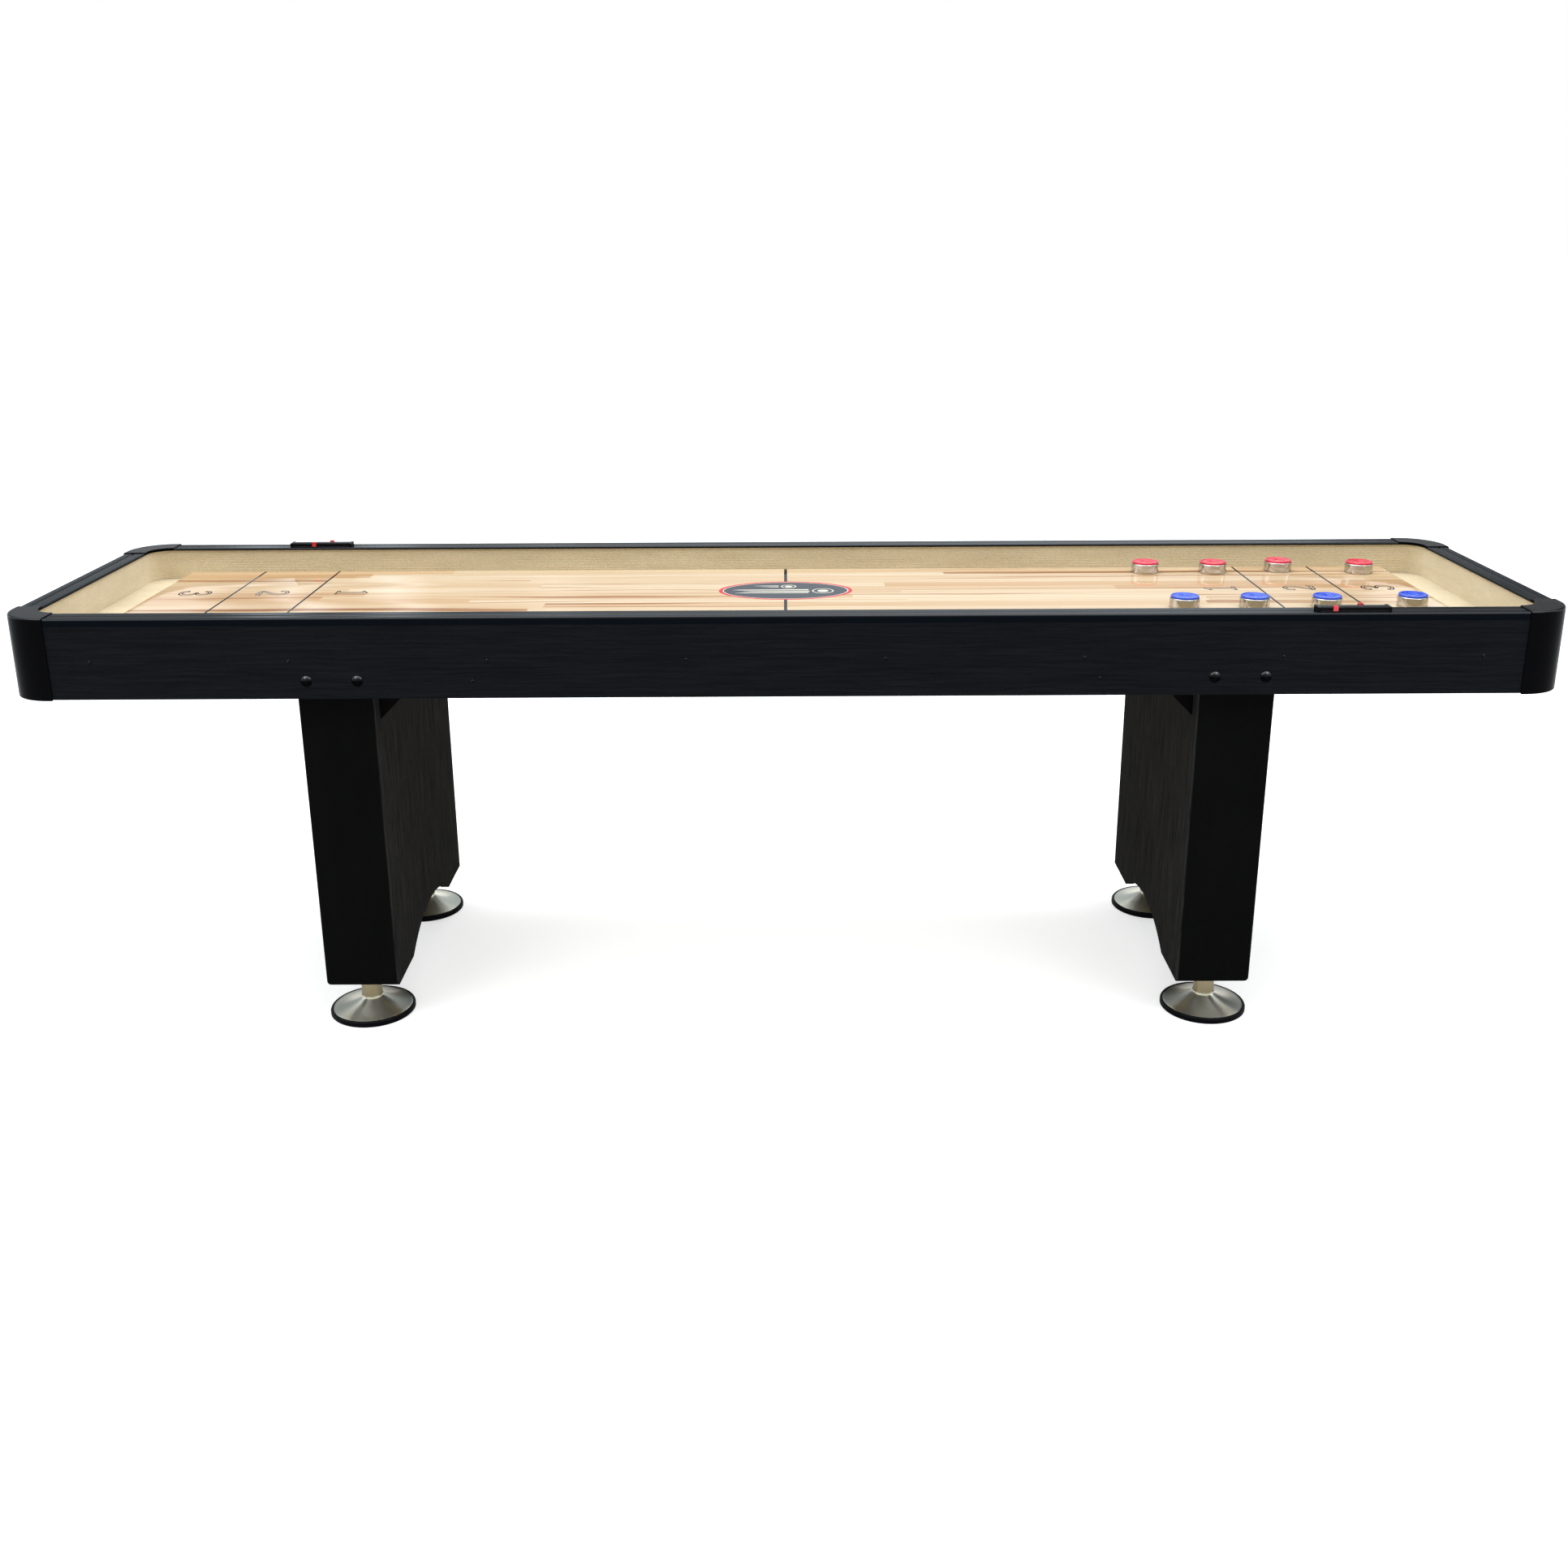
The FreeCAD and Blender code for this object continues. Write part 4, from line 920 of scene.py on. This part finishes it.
def make_slider(name, out):
    """A hook over the bar's track, with finger ridges across its top and a dimple in its
    face."""
    low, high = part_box(f"scorer_slider_{name}")
    face = high.y if out > 0 else low.y
    hook = low.y if out > 0 else high.y
    wall_thick, shelf_thick = 1.6 * MM, 3.4 * MM
    dimple, dimple_margin = 0.6 * MM, 2.6 * MM
    ease, ridge = 0.5 * MM, 0.45 * MM
    wall = face - out * wall_thick
    shelf = high.z - shelf_thick
    dimple_low, dimple_high = low.z + dimple_margin, high.z - dimple_margin
    stations = [(low.x, -ease, 0.0), (low.x + ease, -ridge, 0.0)]
    span = (high.x - low.x - 2 * ease) / SLIDER_RIDGES
    for number in range(SLIDER_RIDGES):
        start = low.x + ease + span * number
        middle_one = number == SLIDER_RIDGES // 2
        for share, rise in ((0.2, -ridge), (0.35, 0.0), (0.65, 0.0), (0.8, -ridge)):
            stations.append((start + span * share, rise, dimple if middle_one else 0.0))
    stations += [(high.x - ease, -ridge, 0.0), (high.x, -ease, 0.0)]

    def build(builder, local):
        rings = []
        for x, rise, hollow in stations:
            top = high.z + rise
            sunk = face - out * hollow
            outline = [(face, low.z), (face, dimple_low), (sunk, dimple_low + dimple),
                       (sunk, dimple_high - dimple), (face, dimple_high),
                       (face, top - ease), (face - out * ease, top),
                       (hook + out * ease, top), (hook, top - ease), (hook, shelf),
                       (wall, shelf), (wall, low.z)]
            rings.append([builder.verts.new((x, y, z)) for y, z in outline])
        for ring, following in zip(rings, rings[1:]):
            bridge(builder, ring, following)
        builder.faces.new(rings[0])
        builder.faces.new(rings[-1][::-1])

    new_piece(build, f"slider_{name}", "scorer_red", f"scorer_slider_{name}",
              [f"scorer_slider_{name}"])


# ---------------------------------------------------------------- feet

THREAD_PITCH = 2.0
STUD_OUT = 40.0
FOOT_SEGMENTS = 96


def thread(builder, local, centre, radius, low, high, segments=32, per_turn=6):
    """A screw thread on a stud, from its foot to its top, in millimetres."""
    depth = 0.7
    rings = []
    count = round((high - low) / THREAD_PITCH * per_turn)
    for step in range(count + 1):
        z = low + (high - low) * step / count
        ring = []
        for i in range(segments):
            turn = i / segments
            phase = (z / THREAD_PITCH - turn) % 1.0
            cut_in = depth * (1 - abs(2 * phase - 1))
            r = radius - min(cut_in, depth)
            at = Vector((r * math.cos(2 * math.pi * turn), r * math.sin(2 * math.pi * turn), z))
            item = builder.verts.new(centre + at * MM)
            item[local] = at * MM
            ring.append(item)
        rings.append(ring)
    for ring, following in zip(rings, rings[1:]):
        bridge(builder, ring, following)
    builder.faces.new(rings[0][::-1])
    builder.faces.new(rings[-1])


def make_foot(corner):
    """A flared nickel base with a collar and a threaded stud, in a rubber ring."""
    low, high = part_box(f"foot_base_{corner}")
    pad_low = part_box(f"foot_pad_{corner}")[0]
    centre = Vector(((low.x + high.x) / 2, (low.y + high.y) / 2, pad_low.z))
    rim = (high.x - low.x) / 2 / MM
    stem, stud = 19.3, 8.0
    under = (low.z - pad_low.z) / MM
    edge, flare_top = 11.0, 31.0
    stud_top = (high.z - pad_low.z) / MM
    stem_top = stud_top - STUD_OUT

    chord = Vector((stem - rim, flare_top - edge))
    bend = 120.0
    across = Vector((-chord.y, chord.x)).normalized()
    middle = Vector(((stem + rim) / 2, (edge + flare_top) / 2))
    hollow = middle - across * math.sqrt(bend ** 2 - chord.length_squared / 4)
    start = math.degrees(math.atan2(edge - hollow.y, rim - hollow.x))
    end = math.degrees(math.atan2(flare_top - hollow.y, stem - hollow.x))
    flare = arc(hollow, bend, start, end, 20)

    collar = [(stem + 0.2, flare_top + 0.2), (stem + 1.3, flare_top + 0.6),
              (stem + 1.7, flare_top + 1.6), (stem + 1.3, flare_top + 2.6),
              (stem, flare_top + 3.0)]
    base = [(0, under), (rim - 0.8, under), (rim, under + 0.8), (rim, edge - 1.4),
            (rim - 0.5, edge - 0.5), (rim - 1.6, edge + 0.1)]
    base += [point for point in flare if point[0] < rim - 2.4][:-1]
    base += collar + [(stem, stem_top - 1.0), (stem - 0.8, stem_top - 0.2),
                      (stud + 0.6, stem_top - 0.2), (0, stem_top - 0.2)]
    new_piece(lambda b, layer: lathe(b, layer, centre, base, FOOT_SEGMENTS),
              f"foot_flare_{corner}", "foot_nickel", f"foot_screw_{corner}",
              [f"foot_base_{corner}"])
    new_piece(lambda b, layer: thread(b, layer, centre, stud, stem_top - 0.2, stud_top),
              f"foot_stud_{corner}", "zinc_steel", f"foot_screw_{corner}",
              sharp_angle=80.0)
    dress(f"foot_pad_{corner}", "foot_rubber")


# ---------------------------------------------------------------- screws

SCREW_RISE = 1.2


def make_screws():
    """Pan-headed screws with a crossed recess, where the plain ones are."""
    spots = screw_spots(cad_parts["apron_screws"])
    head, ring_count, segments = 3.0, 7, 24

    def recess(x, y):
        """How deep the cross is at a point of the head."""
        arm, half, deep = 1.75, 0.42, 0.8
        inside = (abs(x) < half and abs(y) < arm) or (abs(y) < half and abs(x) < arm)
        return deep if inside else 0.0

    def build(builder, local):
        for spot, side in spots:
            rings = []
            for number in range(ring_count + 1):
                share = number / ring_count
                radius = head * math.sin(math.pi / 2 * (1 - share))
                ring = []
                for i in range(segments):
                    angle = 2 * math.pi * (i + 0.5) / segments
                    x, z = radius * math.cos(angle), radius * math.sin(angle)
                    dome = SCREW_RISE * math.sqrt(max(1 - (radius / head) ** 2, 0.0)) ** 0.8
                    out = dome - recess(x, z)
                    ring.append(builder.verts.new(
                        spot + Vector((x * MM, side * out * MM, z * MM))))
                    if radius == 0.0:
                        break
                rings.append(ring)
            for ring, following in zip(rings, rings[1:-1]):
                bridge(builder, ring, following)
            tip = rings[-1][0]
            last = rings[-2]
            for i in range(segments):
                builder.faces.new((tip, last[i], last[(i + 1) % segments]))
            builder.faces.new(rings[0])

    new_piece(build, "screw_heads", "black_steel", TABLE, ["apron_screws"])


def screw_spots(item):
    """Where each screw meets an apron's outer face, from the screws' own solids."""
    mesh = bmesh.new()
    mesh.from_mesh(item.data)
    bmesh.ops.remove_doubles(mesh, verts=mesh.verts, dist=0.001 * MM)
    spots = []
    seen = set()
    for vertex in mesh.verts:
        if vertex.index in seen:
            continue
        group = [vertex]
        seen.add(vertex.index)
        for member in group:
            for edge in member.link_edges:
                other = edge.other_vert(member)
                if other.index not in seen:
                    seen.add(other.index)
                    group.append(other)
        xs = [v.co.x for v in group]
        ys = [v.co.y for v in group]
        zs = [v.co.z for v in group]
        side = 1 if sum(ys) > 0 else -1
        face = (max(ys) if side > 0 else min(ys)) - side * SCREW_RISE * MM
        spots.append((Vector(((min(xs) + max(xs)) / 2, face, (min(zs) + max(zs)) / 2)), side))
    mesh.free()
    return spots


# ---------------------------------------------------------------- studio and camera

def make_floor():
    finish = Finish("studio_floor", Roughness=0.9, Specular_IOR_Level=0.1)
    grain = finish.noise(finish.place(), 3.0, 4.0, 0.6)
    finish.set("Base Color", finish.mix(grain, rgb(222, 222, 222), rgb(226, 226, 226)))
    finish.set("Emission Color", (1.0, 1.0, 1.0, 1.0))
    finish.set("Emission Strength", 0.5)
    mesh = bpy.data.meshes.new("studio_floor")
    builder = bmesh.new()
    reach = 60.0
    builder.faces.new([builder.verts.new((x * reach, y * reach, 0.0))
                       for x, y in ((-1, -1), (1, -1), (1, 1), (-1, 1))])
    builder.to_mesh(mesh)
    builder.free()
    mesh.materials.append(finish.material)
    floor = bpy.data.objects.new("studio_floor", mesh)
    bpy.context.scene.collection.objects.link(floor)


# How bright the studio's walls are by direction, in degrees to the right of straight ahead. Narrow
# bright panels on the left and a dark one on the right give the board's gloss its highlights.
ROOM = [
    (-180, 0.34), (-140, 0.36), (-104, 0.6), (-96, 1.5), (-78, 1.5), (-70, 0.6), (-43, 0.3),
    (-29, 0.2), (-19.4, 0.2), (-18.8, 1.1), (-18.0, 1.1), (-17.4, 0.2), (-15.0, 0.22),
    (-14.6, 1.0), (-13.3, 1.0), (-12.8, 0.24), (-9.8, 0.28), (-9.4, 0.8), (-8.7, 0.8),
    (-8.2, 0.3), (0, 0.46), (16, 0.6), (18.6, 0.5), (20, 0.05), (56, 0.06), (70, 0.5),
    (76, 1.5), (94, 1.5), (104, 0.5), (140, 0.36), (180, 0.34),
]


def sky_grey(level):
    """A slightly blue grey."""
    return (level * 0.88, level, level * 1.1, 1.0)


def make_world():
    """A studio that is dimmer in front, brighter at both sides and darker to the rear right,
    above a white horizon. It lights the table; what is seen behind the table is plain white."""
    world = bpy.data.worlds.new("studio")
    bpy.context.scene.world = world
    world.use_nodes = True
    tree = Tree(world.node_tree)
    x, y, z = tree.split(tree.node("TexCoord").outputs["Generated"])
    turn = tree.math("DIVIDE", tree.math("ARCTAN2", x, y), 2 * math.pi)
    round_the_room = tree.math("ADD", turn, 0.5)
    walls = tree.ramp(round_the_room, [
        (0.5 + degrees / 360, sky_grey(level)) for degrees, level in ROOM
    ])
    above_horizon = tree.span(z, 0.132, 0.15)
    overhead = tree.span(z, 0.55, 0.85)
    white = (1.0, 1.0, 1.0, 1.0)
    room = tree.mix(above_horizon, white, walls)
    ceiling = (1.9, 1.95, 2.0, 1.0)
    studio = tree.mix(overhead, room, ceiling)
    backdrop = tree.node("LightPath").outputs["Is Camera Ray"]
    colour = tree.mix(backdrop, studio, white)
    tree.feed(world.node_tree.nodes["Background"].inputs["Color"], colour)


def make_softbox(name, spot, target, size, power):
    """A soft area light that looks at a target."""
    light = bpy.data.lights.new(name, "AREA")
    light.shape = "RECTANGLE"
    light.size, light.size_y = size
    light.energy = power
    item = bpy.data.objects.new(name, light)
    item.location = spot
    item.rotation_euler = (Vector(target) - Vector(spot)).to_track_quat("-Z", "Y").to_euler()
    item.visible_camera = False
    bpy.context.scene.collection.objects.link(item)


def make_lights():
    middle = (0.0, 0.0, 0.75)
    make_softbox("key_left", (-3.0, -2.6, 3.8), middle, (2.4, 2.0), 50.0)
    make_softbox("key_right", (3.0, -2.6, 3.8), middle, (2.4, 2.0), 45.0)
    make_softbox("overhead", (0.0, 0.4, 4.2), middle, (4.0, 1.8), 90.0)


def make_camera():
    camera = bpy.data.cameras.new("camera")
    camera.sensor_width = 36.0
    camera.lens = 36.9
    camera.shift_y = -0.02665
    item = bpy.data.objects.new("camera", camera)
    pitch, yaw, roll = 0.3127, 0.0025, -0.0055
    item.matrix_world = (Matrix.Translation((0.0029, -3.0478, 1.4459))
                         @ Matrix.Rotation(yaw, 4, "Z")
                         @ Matrix.Rotation(math.pi / 2 - pitch, 4, "X")
                         @ Matrix.Rotation(roll, 4, "Z"))
    bpy.context.scene.collection.objects.link(item)
    bpy.context.scene.camera = item


# ---------------------------------------------------------------- the whole scene

make_camera()
dress_cabinet()
make_liner()
make_board()
make_score_lines()
make_digits()
make_oval()
make_motif()
for puck in PUCKS:
    make_puck(puck)
for scorer in SIDES:
    make_scorer(scorer)
for corner in CORNERS:
    make_foot(corner)
make_screws()
make_floor()
make_world()
make_lights()
bpy.context.scene.view_settings.view_transform = "Standard"
